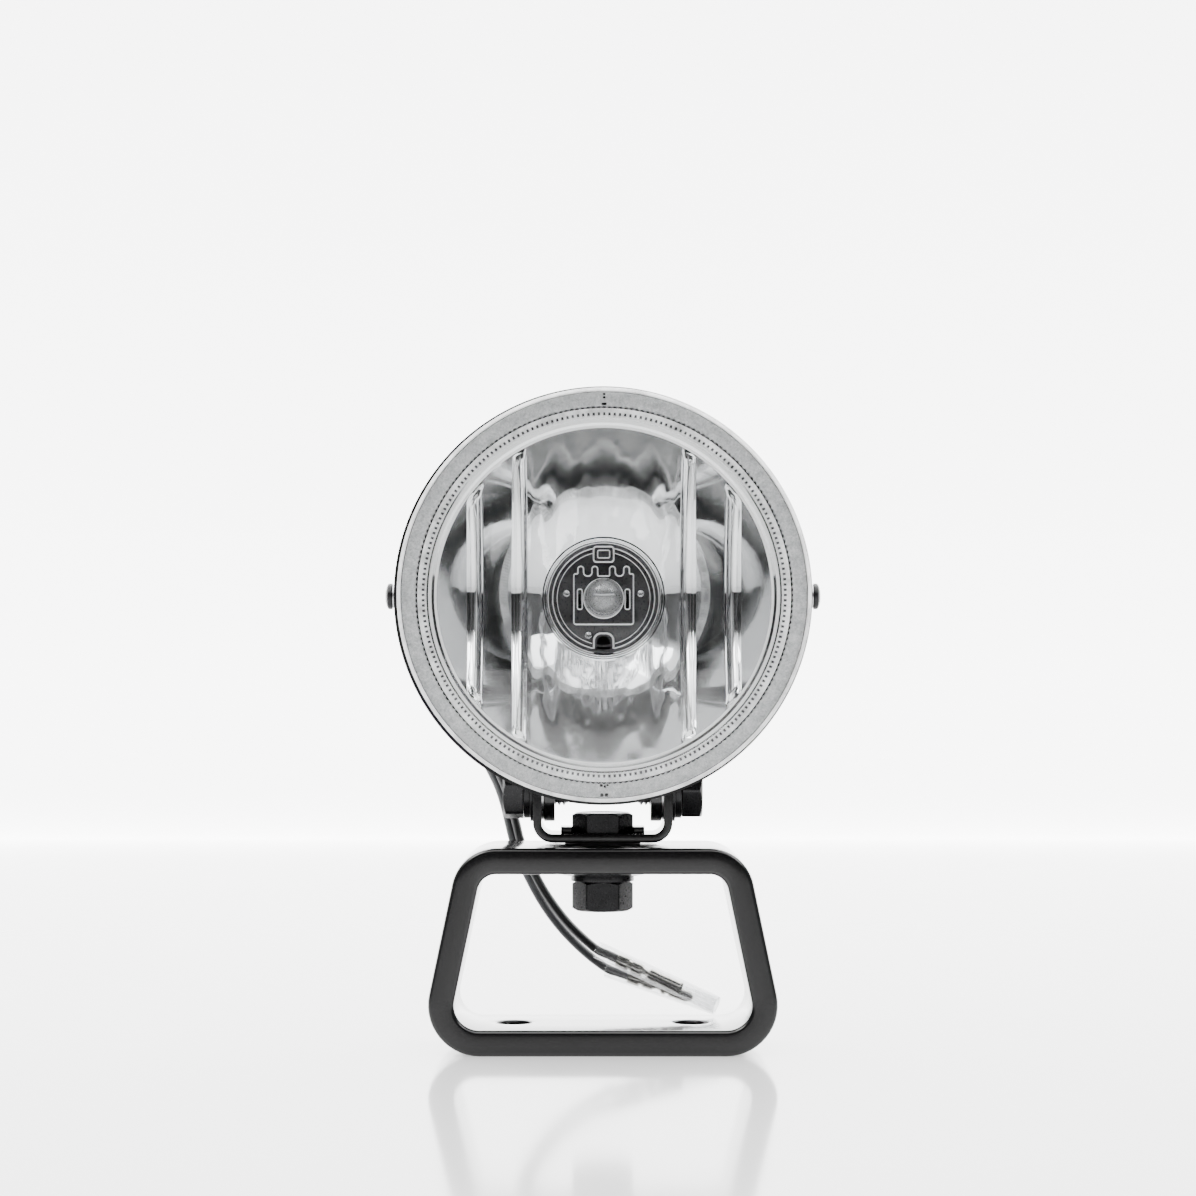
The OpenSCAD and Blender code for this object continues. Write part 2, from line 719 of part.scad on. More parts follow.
stand();
swivel_pad();
yoke();
swivel_bolt();
swivel_washer();
swivel_nut();
lead_black();
lead_grey();
socket_terminal();
bullet_terminal();
socket_sleeve();
bullet_sleeve();
saddle();
pivot_bolts();
pivot_spring_washers();
pivot_flat_washers();
pivot_discs();
housing();
side_screws();
side_collars();
nut_clips();
rim_gasket();
front_glass();
bonding_ring();
reflector();
bulb_holder();
holder_ring();
holder_rivets();
bulb_clip();
bulb_base();
bulb_blade();
bulb_glass();
filament_posts();
filament();
feed_connector();
feed_pigtail();
earth_ring();
earth_pigtail();
grommet();
breather();
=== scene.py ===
"""Looks of the round fog light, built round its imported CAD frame.

Shapes are given in millimetres in a local frame and turned into metres when they are built.
"""

import json
import math

import bmesh
import bpy
import numpy as np
from mathutils import Matrix, Vector
from mathutils.geometry import tessellate_polygon

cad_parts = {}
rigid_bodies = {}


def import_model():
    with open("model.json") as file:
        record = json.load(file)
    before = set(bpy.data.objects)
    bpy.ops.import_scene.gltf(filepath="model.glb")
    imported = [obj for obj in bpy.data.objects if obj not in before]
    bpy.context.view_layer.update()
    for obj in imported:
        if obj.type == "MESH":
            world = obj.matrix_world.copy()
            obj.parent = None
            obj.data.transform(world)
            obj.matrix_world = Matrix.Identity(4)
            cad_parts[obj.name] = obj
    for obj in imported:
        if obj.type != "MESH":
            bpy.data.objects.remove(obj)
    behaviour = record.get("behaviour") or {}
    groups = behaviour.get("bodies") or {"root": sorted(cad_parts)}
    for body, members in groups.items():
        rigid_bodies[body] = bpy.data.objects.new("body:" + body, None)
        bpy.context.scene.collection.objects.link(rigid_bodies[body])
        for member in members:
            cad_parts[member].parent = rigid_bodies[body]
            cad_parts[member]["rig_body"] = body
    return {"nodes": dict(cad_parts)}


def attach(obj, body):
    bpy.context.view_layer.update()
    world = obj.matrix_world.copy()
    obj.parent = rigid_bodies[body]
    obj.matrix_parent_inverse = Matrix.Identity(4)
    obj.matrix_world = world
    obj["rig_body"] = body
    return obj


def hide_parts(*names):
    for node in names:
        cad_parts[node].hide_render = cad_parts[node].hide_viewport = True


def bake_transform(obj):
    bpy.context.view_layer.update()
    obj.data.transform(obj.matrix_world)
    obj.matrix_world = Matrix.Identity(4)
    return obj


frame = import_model()
scene = bpy.context.scene
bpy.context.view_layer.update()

MM = 0.001
TILT_Z = 82.0
LAMP = Matrix.Translation((0, 0, 142.6)) @ Matrix.Rotation(math.pi / 2, 4, "X")
UNIT = Matrix.Translation((0.35, 0, 142.8)) @ Matrix.Rotation(math.pi / 2, 4, "X")
WORLD = Matrix.Identity(4)


# ---------- camera ----------

camera_data = bpy.data.cameras.new("camera")
camera_data.lens = 86.75
camera_data.sensor_width = 36
camera_data.shift_x = 0.0067
camera_data.shift_y = 0.0677
camera = bpy.data.objects.new("camera", camera_data)
camera.location = (-0.004, -0.915, 0.1171)
camera.rotation_euler = (math.pi / 2, 0, 0)
scene.collection.objects.link(camera)
scene.camera = camera


# ---------- outlines ----------


def fillet(corners, closed=True, steps=4):
    """An outline whose corners (a, b, radius) are rounded; a corner without a radius stays sharp."""
    out, n = [], len(corners)
    for i, corner in enumerate(corners):
        here, radius = np.array(corner[:2], float), corner[2] if len(corner) > 2 else 0
        if radius <= 0 or (not closed and i in (0, n - 1)):
            out.append(tuple(here))
            continue
        a = np.array(corners[i - 1][:2], float) - here
        b = np.array(corners[(i + 1) % n][:2], float) - here
        la, lb = np.linalg.norm(a), np.linalg.norm(b)
        a, b = a / la, b / lb
        half = math.acos(float(np.clip(a @ b, -1, 1))) / 2
        reach = min(radius / math.tan(half), 0.48 * la, 0.48 * lb)
        r = reach * math.tan(half)
        middle = (a + b) / np.linalg.norm(a + b)
        centre = here + middle * r / math.sin(half)
        start, end = here + a * reach - centre, here + b * reach - centre
        from_angle = math.atan2(start[1], start[0])
        turn = (math.atan2(end[1], end[0]) - from_angle + math.pi) % (2 * math.pi) - math.pi
        for k in range(steps + 1):
            angle = from_angle + turn * k / steps
            out.append((centre[0] + r * math.cos(angle), centre[1] + r * math.sin(angle)))
    return out


def round_angles(count):
    """Angles in equal steps once round."""
    return [2 * math.pi * k / count for k in range(count)]


def polar(radius, angle):
    return radius * math.cos(angle), radius * math.sin(angle)


def circle(radius, x=0.0, steps=48):
    return [(x + radius * math.cos(a), radius * math.sin(a)) for a in round_angles(steps)]


def rounded_box(x0, y0, x1, y1, radius):
    return fillet([(x0, y0, radius), (x1, y0, radius), (x1, y1, radius), (x0, y1, radius)])


def smooth_line(points, per=6):
    """A finer line through the same points, without corners."""
    p = [np.array(q, float) for q in points]
    p = [2 * p[0] - p[1], *p, 2 * p[-1] - p[-2]]
    out = []
    for i in range(1, len(p) - 2):
        for k in range(per):
            t = k / per
            square = 2 * p[i - 1] - 5 * p[i] + 4 * p[i + 1] - p[i + 2]
            cube = 3 * p[i] - p[i - 1] - 3 * p[i + 1] + p[i + 2]
            out.append(0.5 * (2 * p[i] + (p[i + 1] - p[i - 1]) * t + square * t**2 + cube * t**3))
    return [*out, p[-2]]


# ---------- solids ----------


class Shape:
    """Points in millimetres and faces, gathered into one mesh."""

    def __init__(self):
        self.points, self.faces = [], []

    def add(self, part, place=None):
        points, faces = part
        start = len(self.points)
        self.points += [tuple(place @ Vector(p)) if place else tuple(p) for p in points]
        self.faces += [[start + i for i in f] for f in faces]
        return self


def loft(rings, closed=False):
    """Faces between rings of points. A ring of one point is a pole."""
    points, index = [], []
    for ring in rings:
        index.append(list(range(len(points), len(points) + len(ring))))
        points += ring
    faces = []
    for a, b in zip(index, index[1:] + (index[:1] if closed else [])):
        steps = max(len(a), len(b))
        for k in range(steps):
            quad = [a[k % len(a)], a[(k + 1) % len(a)], b[(k + 1) % len(b)], b[k % len(b)]]
            quad = list(dict.fromkeys(quad))
            if len(quad) > 2:
                faces.append(quad)
    return points, faces


def turned(levels, steps=96, closed=False):
    """Rings about the local z axis. Each level is (radius, height), or a function of the angle."""
    rings = []
    for level in levels:
        ring = []
        for angle in round_angles(steps):
            r, z = level(angle) if callable(level) else level
            ring.append((*polar(r, angle), z))
        rings.append(ring[:1] if not callable(level) and level[0] < 1e-9 else ring)
    return loft(rings, closed)


def lathe(levels, steps=96, closed=False, place=None):
    return Shape().add(turned(levels, steps, closed), place)


def bead_section(radius, r, z, steps):
    """A round section of a ring-shaped bead, as (radius, height) levels."""
    return [(r + radius * math.cos(a), z + radius * math.sin(a)) for a in round_angles(steps)]


def prism(outline, low, high, holes=()):
    """An upright slab between two heights, with holes through it."""
    loops = [list(outline), *[list(h) for h in holes]]
    triangles = tessellate_polygon([[Vector((x, y, 0)) for x, y in loop] for loop in loops])
    flat = [p for loop in loops for p in loop]
    n = len(flat)
    points = [(x, y, low) for x, y in flat] + [(x, y, high) for x, y in flat]
    faces = [list(t) for t in triangles] + [[i + n for i in t] for t in triangles]
    start = 0
    for loop in loops:
        for k in range(len(loop)):
            a, b = start + k, start + (k + 1) % len(loop)
            faces.append([a, b, b + n, a + n])
        start += len(loop)
    return points, faces


def tube(path, radius, sides=20):
    """A round tube along a path, closed at both ends."""
    path = [Vector(p) for p in path]
    last = len(path) - 1
    heading = [(path[min(i + 1, last)] - path[max(i - 1, 0)]).normalized() for i in range(last + 1)]
    side = heading[0].orthogonal().normalized()
    rings = []
    for centre, ahead in zip(path, heading):
        side = (side - ahead * side.dot(ahead)).normalized()
        other = ahead.cross(side)
        spokes = [math.cos(a) * side + math.sin(a) * other for a in round_angles(sides)]
        rings.append([tuple(centre + radius * spoke) for spoke in spokes])
    return loft([[tuple(path[0])], *rings, [tuple(path[-1])]])


def facing(start, end):
    """The frame at start whose local z axis points to end."""
    run = Vector(end) - Vector(start)
    return Matrix.Translation(start) @ run.to_track_quat("Z", "Y").to_matrix().to_4x4()


def pivot(side, x):
    """The frame on the tilt axis whose local z axis points outwards on that side."""
    return Matrix(((0, 0, side, side * x), (1, 0, 0, 0), (0, 1, 0, TILT_Z), (0, 0, 0, 1)))


def soften_edges(bm, width, segments):
    """Bevels every edge that turns by more than 32 degrees."""
    edges = [e for e in bm.edges if len(e.link_faces) == 2 and e.calc_face_angle(0) > math.radians(32)]
    if edges and width:
        bmesh.ops.bevel(bm, geom=edges, offset=width * MM, segments=segments, profile=0.5,
                        affect="EDGES", clamp_overlap=True)


def build(name, shape, look, body, node=None, home=WORLD, bevel=0.0, segments=2, sharp=32, bend=None):
    """Makes a piece of the object from a shape and hangs it on its body."""
    bm = bmesh.new()
    corners = [bm.verts.new(Vector(p) * MM) for p in shape.points]
    for face in shape.faces:
        try:
            bm.faces.new([corners[i] for i in face])
        except ValueError:
            pass
    bmesh.ops.remove_doubles(bm, verts=bm.verts, dist=1e-7)
    bmesh.ops.recalc_face_normals(bm, faces=bm.faces)
    soften_edges(bm, bevel, segments)
    if bend:
        bend(bm)
    return place_mesh(name, bm, look, body, node, home, sharp)


def optic(name, shape, look, node=None, **how):
    """A piece of the optical unit: everything inside the housing's rim."""
    build(name, shape, look, "lamp", node, home=UNIT, **how)


def remake(node, look, bevel=0.15, segments=2):
    """A piece with the CAD node's own shape and softened edges."""
    bm = bmesh.new()
    bm.from_mesh(frame["nodes"][node].data)
    bmesh.ops.remove_doubles(bm, verts=bm.verts, dist=2e-6)
    bmesh.ops.dissolve_limit(bm, angle_limit=math.radians(1), verts=bm.verts, edges=bm.edges)
    soften_edges(bm, bevel, segments)
    return place_mesh(node + "_made", bm, look, frame["nodes"][node]["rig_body"], node, WORLD, 32)


def place_mesh(name, bm, look, body, node, home, sharp):
    """Makes the object. One that is called X_made takes the place of the CAD node X."""
    mesh = bpy.data.meshes.new(name)
    bm.to_mesh(mesh)
    bm.free()
    material, slot = look
    mesh.materials.append(material)
    mesh.shade_smooth()
    mesh.set_sharp_from_angle(angle=math.radians(sharp))
    obj = bpy.data.objects.new(name, mesh)
    scene.collection.objects.link(obj)
    home = home.copy()
    home.translation = home.translation * MM
    obj.matrix_world = home
    bpy.context.view_layer.update()
    if body:
        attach(obj, body)
    if name.endswith("_made"):
        node = name.removesuffix("_made")
    if node:
        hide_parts(node)
    return obj


# ---------- materials ----------


class Nodes:
    """Shorthand for the node tree of a material or a world."""

    def __init__(self, owner, output="OutputMaterial"):
        owner.use_nodes = True
        self.owner, self.tree = owner, owner.node_tree
        self.tree.nodes.clear()
        self.out = self.tree.nodes.new("ShaderNode" + output)

    def add(self, kind, inputs=None, **settings):
        node = self.tree.nodes.new("ShaderNode" + kind)
        for key, value in settings.items():
            setattr(node, key, value)
        for key, value in (inputs or {}).items():
            if isinstance(value, bpy.types.NodeSocket):
                self.tree.links.new(value, node.inputs[key])
            else:
                node.inputs[key].default_value = value
        return node

    def math(self, operation, a, b=0.0):
        return self.add("Math", {0: a, 1: b}, operation=operation).outputs[0]

    def object_coords(self):
        return self.add("TexCoord").outputs["Object"]

    def noise(self, vector, scale, detail=3.0, rough=0.55):
        inputs = {"Vector": vector, "Scale": scale, "Detail": detail, "Roughness": rough}
        return self.add("TexNoise", inputs).outputs["Fac"]

    def remap(self, value, start, end, low, high, kind="LINEAR"):
        """The value carried from start..end to low..high, and held level beyond."""
        inputs = {"Value": value, "From Min": start, "From Max": end, "To Min": low, "To Max": high}
        return self.add("MapRange", inputs, interpolation_type=kind).outputs[0]

    def relief(self, strength, distance, height):
        return self.add("Bump", {"Strength": strength, "Distance": distance, "Height": height}).outputs[0]

    def ramp(self, fac, stops):
        node = self.add("ValToRGB", {"Fac": fac})
        while len(node.color_ramp.elements) < len(stops):
            node.color_ramp.elements.new(0.5)
        for element, (at, color) in zip(node.color_ramp.elements, stops):
            element.position = at
            element.color = (*color, 1) if hasattr(color, "__len__") else (color, color, color, 1)
        return node.outputs["Color"]

    def show(self, shader):
        self.tree.links.new(shader.outputs[0], self.out.inputs["Surface"])
        return self.owner


def material_nodes(name):
    return Nodes(bpy.data.materials.new(name))


def scaled(color, factor):
    return tuple(min(1.0, c * factor) for c in color)


def surface(name, color, rough, slot=None, metallic=0.0, vary=0.15, broad=60, grain=900, rough_vary=0.06,
            bump=0.15, depth=0.00004, coat=0.0, specular=0.5, dust=0.0, marks=0.0):
    """A solid finish: slow colour changes, fine grain in roughness and relief, dust and rubbed marks."""
    n = material_nodes(name)
    coords = n.object_coords()
    slow = n.noise(coords, broad, 4)
    fine = n.noise(coords, grain, 6, 0.6)
    base = n.ramp(slow, [(0.3, scaled(color, 1 - vary)), (0.7, scaled(color, 1 + vary))])
    roughness = n.remap(fine, 0.3, 0.7, rough - rough_vary, rough + rough_vary)
    if marks:
        worn = n.ramp(n.noise(coords, broad * 5, 8, 0.7), [(0.62, 0.0), (0.7, marks)])
        roughness = n.math("ADD", roughness, worn)
    if dust:
        specks = n.ramp(n.noise(coords, grain * 1.7, 2), [(0.7, 0.0), (0.78, dust)])
        dusted = {"Fac": specks, "Color1": base, "Color2": (0.45, 0.44, 0.42, 1)}
        base = n.add("MixRGB", dusted).outputs[0]
    shader = n.add("BsdfPrincipled", {
        "Base Color": base, "Roughness": roughness, "Metallic": metallic, "Specular IOR Level": specular,
        "Normal": n.relief(bump, depth, fine), "Coat Weight": coat, "Coat Roughness": 0.08,
    })
    return n.show(shader), slot or name


def clear(name, tint, edge, rough, slot=None, haze_and_painted_light=0.0, grain=300):
    """Clear glass or plastic: see-through, darker where it is seen edge-on, with a mirror-like skin."""
    n = material_nodes(name)
    coords = n.object_coords()
    fine = n.noise(coords, grain, 4)
    slope = n.add("LayerWeight", {"Blend": 0.5}).outputs["Facing"]
    through = n.ramp(n.math("POWER", slope, 4.5), [(0.0, tint), (1.0, edge)])
    shine = n.math("ADD", n.math("MULTIPLY", n.math("POWER", slope, 5.0), 0.9), 0.04)
    roughness = n.remap(fine, 0.3, 0.7, rough * 0.6, rough * 1.4)
    skin = {"Color": (1, 1, 1, 1), "Roughness": roughness, "Normal": n.relief(0.08, 0.00003, fine)}
    open_part = n.add("BsdfTransparent", {"Color": through}).outputs[0]
    shader = n.add("MixShader", {0: shine, 1: open_part, 2: n.add("BsdfGlossy", skin).outputs[0]})
    # Diffuse white share: haze in the clear sleeves, and painted light in the glass spigot and the glass's
    # outer edge ring.
    if haze_and_painted_light:
        white_diffuse = n.add("BsdfDiffuse", {"Color": (*scaled(tint, 0.95), 1)}).outputs[0]
        share = n.ramp(n.noise(coords, grain * 0.5, 3), [(0.3, haze_and_painted_light * 0.5), (0.7, haze_and_painted_light * 1.4)])
        shader = n.add("MixShader", {0: share, 1: shader.outputs[0], 2: white_diffuse})
    return n.show(shader), slot or name


def bond_look():
    """Grey bonding compound, mottled, with fine strokes that run outwards."""
    n = material_nodes("bond")
    coords = n.object_coords()
    x, y, _ = n.add("SeparateXYZ", {0: coords}).outputs
    angle = n.math("ARCTAN2", y, x)
    radius = n.math("SQRT", n.math("ADD", n.math("MULTIPLY", x, x), n.math("MULTIPLY", y, y)))
    strokes = n.add("CombineXYZ", {0: n.math("MULTIPLY", angle, 36.0), 1: n.math("MULTIPLY", radius, 500.0)})
    streak = n.noise(strokes.outputs[0], 2.6, 5, 0.65)
    blotch = n.noise(coords, 420, 4, 0.6)
    mixed = n.math("ADD", n.math("MULTIPLY", streak, 0.6), n.math("MULTIPLY", blotch, 0.4))
    base = n.ramp(mixed, [(0.36, (0.3, 0.305, 0.31)), (0.5, (0.46, 0.465, 0.47)), (0.62, (0.62, 0.62, 0.62))])
    inputs = {"Base Color": base, "Roughness": 0.5, "Normal": n.relief(0.3, 0.0001, mixed)}
    return n.show(n.add("BsdfPrincipled", inputs)), "bond"


BLACK_PAINT = surface("black_paint", (0.0042, 0.0042, 0.0045), 0.17, vary=0.2, broad=40, grain=700, bump=0.05,
                      coat=0.35, dust=0.02, rough_vary=0.03, specular=0.35)
BRACKET_PAINT = surface("bracket_paint", (0.005, 0.005, 0.0055), 0.2, bump=0.08, coat=0.3, dust=0.03,
                        marks=0.12, specular=0.4)
BLACK_ZINC = surface("black_zinc", (0.012, 0.012, 0.013), 0.3, metallic=0.4, vary=0.35, broad=220, grain=1600,
                     bump=0.2, marks=0.12, specular=0.4)
HOUSING_BLACK = surface("housing_black", (0.005, 0.005, 0.0055), 0.36, vary=0.2, broad=50, grain=1100,
                        bump=0.25, dust=0.03, specular=0.2)
BRIGHT_STEEL = surface("bright_steel", (0.52, 0.52, 0.53), 0.3, metallic=1.0, vary=0.12, broad=150,
                       grain=1500, marks=0.12)
PAD = surface("friction_pad", (0.02, 0.02, 0.021), 0.7, grain=1400, bump=0.4)
RUBBER = surface("rubber", (0.016, 0.016, 0.017), 0.62, vary=0.25, broad=120, grain=1300, bump=0.35,
                 dust=0.12)
CHROME = surface("reflector_chrome", (0.9, 0.905, 0.91), 0.04, metallic=1.0, vary=0.03, broad=30, grain=250,
                 bump=0.012, depth=0.00002, rough_vary=0.015)
SATIN_CHROME = surface("satin_chrome", (0.9, 0.9, 0.9), 0.5, "reflector_chrome", metallic=0.35, vary=0.05,
                       broad=90, bump=0.08)
HOLDER_BLACK = surface("holder_black", (0.035, 0.035, 0.037), 0.3, metallic=0.2, broad=200, grain=1500,
                       bump=0.1, coat=0.3, marks=0.05)
CLIP_STEEL = surface("clip_steel", (0.42, 0.42, 0.43), 0.2, metallic=1.0, vary=0.12, broad=300, grain=1600,
                     bump=0.08, marks=0.06)
# Bright metal for thin beads on the black holder: painted highlights along its edges.
PAINTED_HIGHLIGHT_METAL = surface("painted_highlight_metal", (0.85, 0.85, 0.86), 0.38, "clip_steel", metallic=0.7, vary=0.06,
                      broad=300, grain=1800, bump=0.08)
TUNGSTEN = surface("tungsten", (0.45, 0.45, 0.46), 0.35, metallic=1.0, grain=4000, bump=0.3)
NYLON = surface("nylon", (0.72, 0.71, 0.68), 0.42, vary=0.06, bump=0.12)
BRASS = surface("tinned_brass", (0.5, 0.49, 0.46), 0.22, metallic=1.0, broad=400, grain=2200, bump=0.12,
                marks=0.1)
BLACK_PVC = surface("black_pvc", (0.012, 0.012, 0.013), 0.34, broad=90, grain=1500, bump=0.12, dust=0.05)
GREY_PVC = surface("grey_pvc", (0.06, 0.061, 0.065), 0.36, vary=0.12, broad=90, grain=1500, bump=0.12,
                   dust=0.05)
LENS_GLASS = clear("lens_glass", (0.985, 0.988, 0.988), (0.55, 0.56, 0.56), 0.02)
# Glass with a white diffuse share: painted light where the spigot refracts light, and a painted highlight on
# the rounded outer edge.
PAINTED_LIGHT_GLASS = clear("painted_light_glass", (0.98, 0.98, 0.98), (0.8, 0.8, 0.8), 0.05, "lens_glass", haze_and_painted_light=0.8)
# Dark see-through glass: painted shade at the knurl teeth, and the dark marks on the glass.
PAINTED_SHADE_AND_MARK_GLASS = clear("painted_shade_and_mark_glass", (0.3, 0.3, 0.305), (0.1, 0.1, 0.1), 0.08, "lens_glass")
BULB_GLASS = clear("bulb_glass", (0.985, 0.987, 0.99), (0.4, 0.4, 0.4), 0.015)
CLEAR_PVC = clear("clear_pvc", (0.97, 0.973, 0.975), (0.25, 0.26, 0.27), 0.06, haze_and_painted_light=0.06, grain=500)
BOND = bond_look()


# ---------- leads, terminals and sleeves ----------

BLACK_ROUTE = [
    (-37.5, 12, 99.95), (-37.5, 12, 97.6), (-36, 15, 92.5), (-33.8, 19.6, 87.4), (-31.7, 24.6, 82),
    (-29.9, 29.2, 76), (-28.4, 33, 70), (-27, 35.4, 64), (-24.8, 36, 58), (-22, 35.6, 52.4),
    (-18.9, 34.6, 47), (-15.4, 33, 42), (-11.4, 31, 37.2), (-6.6, 28.4, 32.6), (-1.8, 26, 28.8),
    (1.7, 24.7, 27.3), (5.2, 23.4, 25.8),
]
GREY_ROUTE = [
    (-40.5, 12, 99.95), (-40.5, 12, 97.6), (-38.7, 16.4, 92.5), (-36.2, 21.6, 87.4), (-33.9, 26.9, 82),
    (-32.1, 31.5, 76), (-30.8, 35.2, 70), (-29.4, 37.5, 64), (-27.3, 38.6, 58), (-24.7, 38.6, 52.4),
    (-21.8, 38.2, 46.8), (-18.3, 37, 41.2), (-14, 35.6, 35.6), (-9, 33.6, 30.4), (-3.6, 31.2, 25.8),
    (1.8, 28.9, 22.2), (5.3, 27.8, 21.1), (8.8, 26.7, 20),
]
BLACK_END, GREY_END = (36.7, 11.7, 12.3), (36.8, 17.9, 11.2)
LEAD_D = 2.9
BARREL_R, BARREL_BORE = 1.95, 1.6
SLEEVE_R, SLEEVE_BORE = 2.84, 2.36
SLEEVE_OVERLAP = 7.8


def lead(name, route, look, node):
    """One lead as a fixed tube along its route past the U bracket."""
    path = smooth_line(route, 5)
    shape = Shape().add(tube(path, LEAD_D / 2, 24))
    obj = build(name, shape, look, None, node, bevel=0.12, sharp=50)
    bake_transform(obj)
    length = sum(float(np.linalg.norm(b - a)) for a, b in zip(path, path[1:])) * MM
    return obj, [tuple(float(c) * MM for c in p) for p in path], length


def crimp_ring(z, radius, lobe, seam):
    """A rolled crimp's cross-section: two lobes that meet in a seam."""

    def level(angle):
        turn = math.cos(angle - math.pi / 2)
        dip = seam * math.exp(-((math.acos(max(-1, min(1, turn))) / 0.22) ** 2))
        return radius * (1 - lobe * math.cos(2 * angle) * 0.5) - dip, z

    return level


def terminal_shape(socket):
    """Insulation crimp, wire crimp with the bare strands between, neck, then a slotted barrel or a bullet."""
    levels = [(0, 0.05), crimp_ring(0.0, 1.9, 0, 0), crimp_ring(0.0, 2.1, 0.05, 0.5)]
    levels += [crimp_ring(z, 2.18, 0.05, 0.55) for z in (0.2, 1.4, 2.6, 3.6)]
    levels += [crimp_ring(3.9, 2.1, 0.05, 0.5), (1.55, 4.1), (1.5, 4.9)]
    levels += [crimp_ring(5.05, 1.7, 0.12, 0.4), crimp_ring(5.25, 1.86, 0.12, 0.5)]
    ridges = enumerate((5.9, 6.3, 6.8, 7.2, 7.7, 8.2))
    levels += [crimp_ring(z, 1.88 - 0.1 * (k % 2), 0.12, 0.5) for k, z in ridges]
    levels += [crimp_ring(8.6, 1.75, 0.12, 0.45)]
    levels += [(1.45, 8.95), (1.1, 9.6), (1.02, 10.4), (1.15, 11.0), (1.5, 11.5)]
    if socket:
        levels += [(BARREL_R, 11.9), (BARREL_R, 12.2), (BARREL_BORE, 12.25), (0, 12.3)]
        return lathe(levels, 48).add(slotted_barrel())
    levels += [(1.9, 11.9), (BARREL_R, 12.1), (BARREL_R, 12.9)]
    levels += [(1.85, 13.15), (1.42, 13.3), (1.42, 14.3), (1.85, 14.55), (BARREL_R, 14.8)]
    levels += [(BARREL_R, 20.1), (1.85, 20.6), (1.5, 21.5), (1.1, 22.2), (0.9, 22.35), (0, 22.38)]
    return lathe(levels, 48)


def slotted_barrel():
    """The socket's rolled barrel, open along one side, with a groove and a flared mouth."""
    half_slot, steps = 0.17, 40
    arc = np.linspace(half_slot, 2 * math.pi - half_slot, steps + 1) + math.pi
    section = [polar(BARREL_R, a) for a in arc] + [polar(BARREL_BORE, a) for a in reversed(arc)]
    waist = ((12.0, 0), (14.2, 0), (14.6, -0.08), (15.2, -0.08), (15.6, 0), (21.5, 0))
    rings = []
    for z, grow in (*waist, (22.4, 0.04), (23.05, 0.06)):
        rings.append([(x * (1 + grow / BARREL_R), y * (1 + grow / BARREL_R), z) for x, y in section])
    points, faces = loft(rings)
    n, last = len(section), len(section) * (len(rings) - 1)
    for k in range(steps):
        a, b = k, n - 1 - k
        faces.append([a, a + 1, b - 1, b])
        faces.append([last + a, last + a + 1, last + b - 1, last + b])
    return points, faces


def sleeve_shape(length):
    """A clear push-on sleeve with soft ends and slightly uneven walls."""
    outer, inner = SLEEVE_R, SLEEVE_BORE

    def level(r, z, wave):
        return lambda a: (r + wave * math.sin(2 * a + z * 0.21) + 0.4 * wave * math.sin(3 * a - z * 0.5), z)

    zs = [0.12 + (length - 0.24) * k / 24 for k in range(25)]
    levels = [level(outer - 0.12, 0, 0.02), *[level(outer, z, 0.015) for z in zs]]
    levels += [level(outer - 0.12, length, 0.02), level(inner + 0.08, length, 0.02)]
    levels += [*[level(inner, z, 0.02) for z in reversed(zs)], level(inner + 0.08, 0, 0.02)]
    return lathe(levels, 48, closed=True)


for route, end, look, word, socket in (
    (BLACK_ROUTE, BLACK_END, BLACK_PVC, "black", True),
    (GREY_ROUTE, GREY_END, GREY_PVC, "grey", False),
):
    lead_obj, lead_path, lead_length = lead(f"lead_{word}_tube", route, look, f"lead_{word}")
    kind = "socket" if socket else "bullet"
    tip = Vector(route[-1])
    back = (tip - Vector(end)).normalized()
    metal = build(f"{kind}_terminal_made", terminal_shape(socket), BRASS, "yoke",
                  home=facing(tip, end), sharp=40)
    start = tip + SLEEVE_OVERLAP * back
    sleeve = build(f"{kind}_sleeve_made", sleeve_shape((Vector(end) - start).length), CLEAR_PVC, "yoke",
                   home=facing(start, end), sharp=40)


# ---------- stand ----------

STAND_HALF_DEPTH = 22.5
WALL = 8.1
EDGE_R = 1.3
LOW_CORNER, HIGH_CORNER = (38.3, 16.0, 16.0), (33.1, 50.6, 14.0)  # x, z and radius
MOUNT_X, MOUNT_R, MOUNT_MOUTH = 28, 5.5, 6.1
HOLE_R = 5.05
BOSS_TOP, BOSS_UNDER = 65.1, 54.8


def loop_outline():
    """(point, outward normal) round the loop: four corner arcs joined by their common tangents."""
    low, high = LOW_CORNER, HIGH_CORNER
    run, rise = low[0] - high[0], high[1] - low[1]
    lean = math.atan2(run, rise) + math.asin((low[2] - high[2]) / math.hypot(run, rise))
    out = []

    def arc(cx, cz, r, a0, a1):
        for a in np.linspace(a0, a1, 15):
            out.append(((cx + r * math.cos(a), cz + r * math.sin(a)), (math.cos(a), math.sin(a))))

    arc(*low, -math.pi / 2, lean)
    arc(*high, lean, math.pi / 2)
    arc(-high[0], high[1], high[2], math.pi / 2, math.pi - lean)
    arc(-low[0], low[1], low[2], math.pi - lean, 3 * math.pi / 2)
    return out


def stand_ring():
    """The loop as a rounded rectangular section carried round its outline."""
    depth = STAND_HALF_DEPTH
    corners = [(0, -depth), (0, depth), (WALL, depth), (WALL, -depth)]
    section = fillet([(*corner, EDGE_R) for corner in corners], steps=5)
    rings = [[(p[0] - n[0] * d, y, p[1] - n[1] * d) for d, y in section] for p, n in loop_outline()]
    return loft(rings, closed=True)


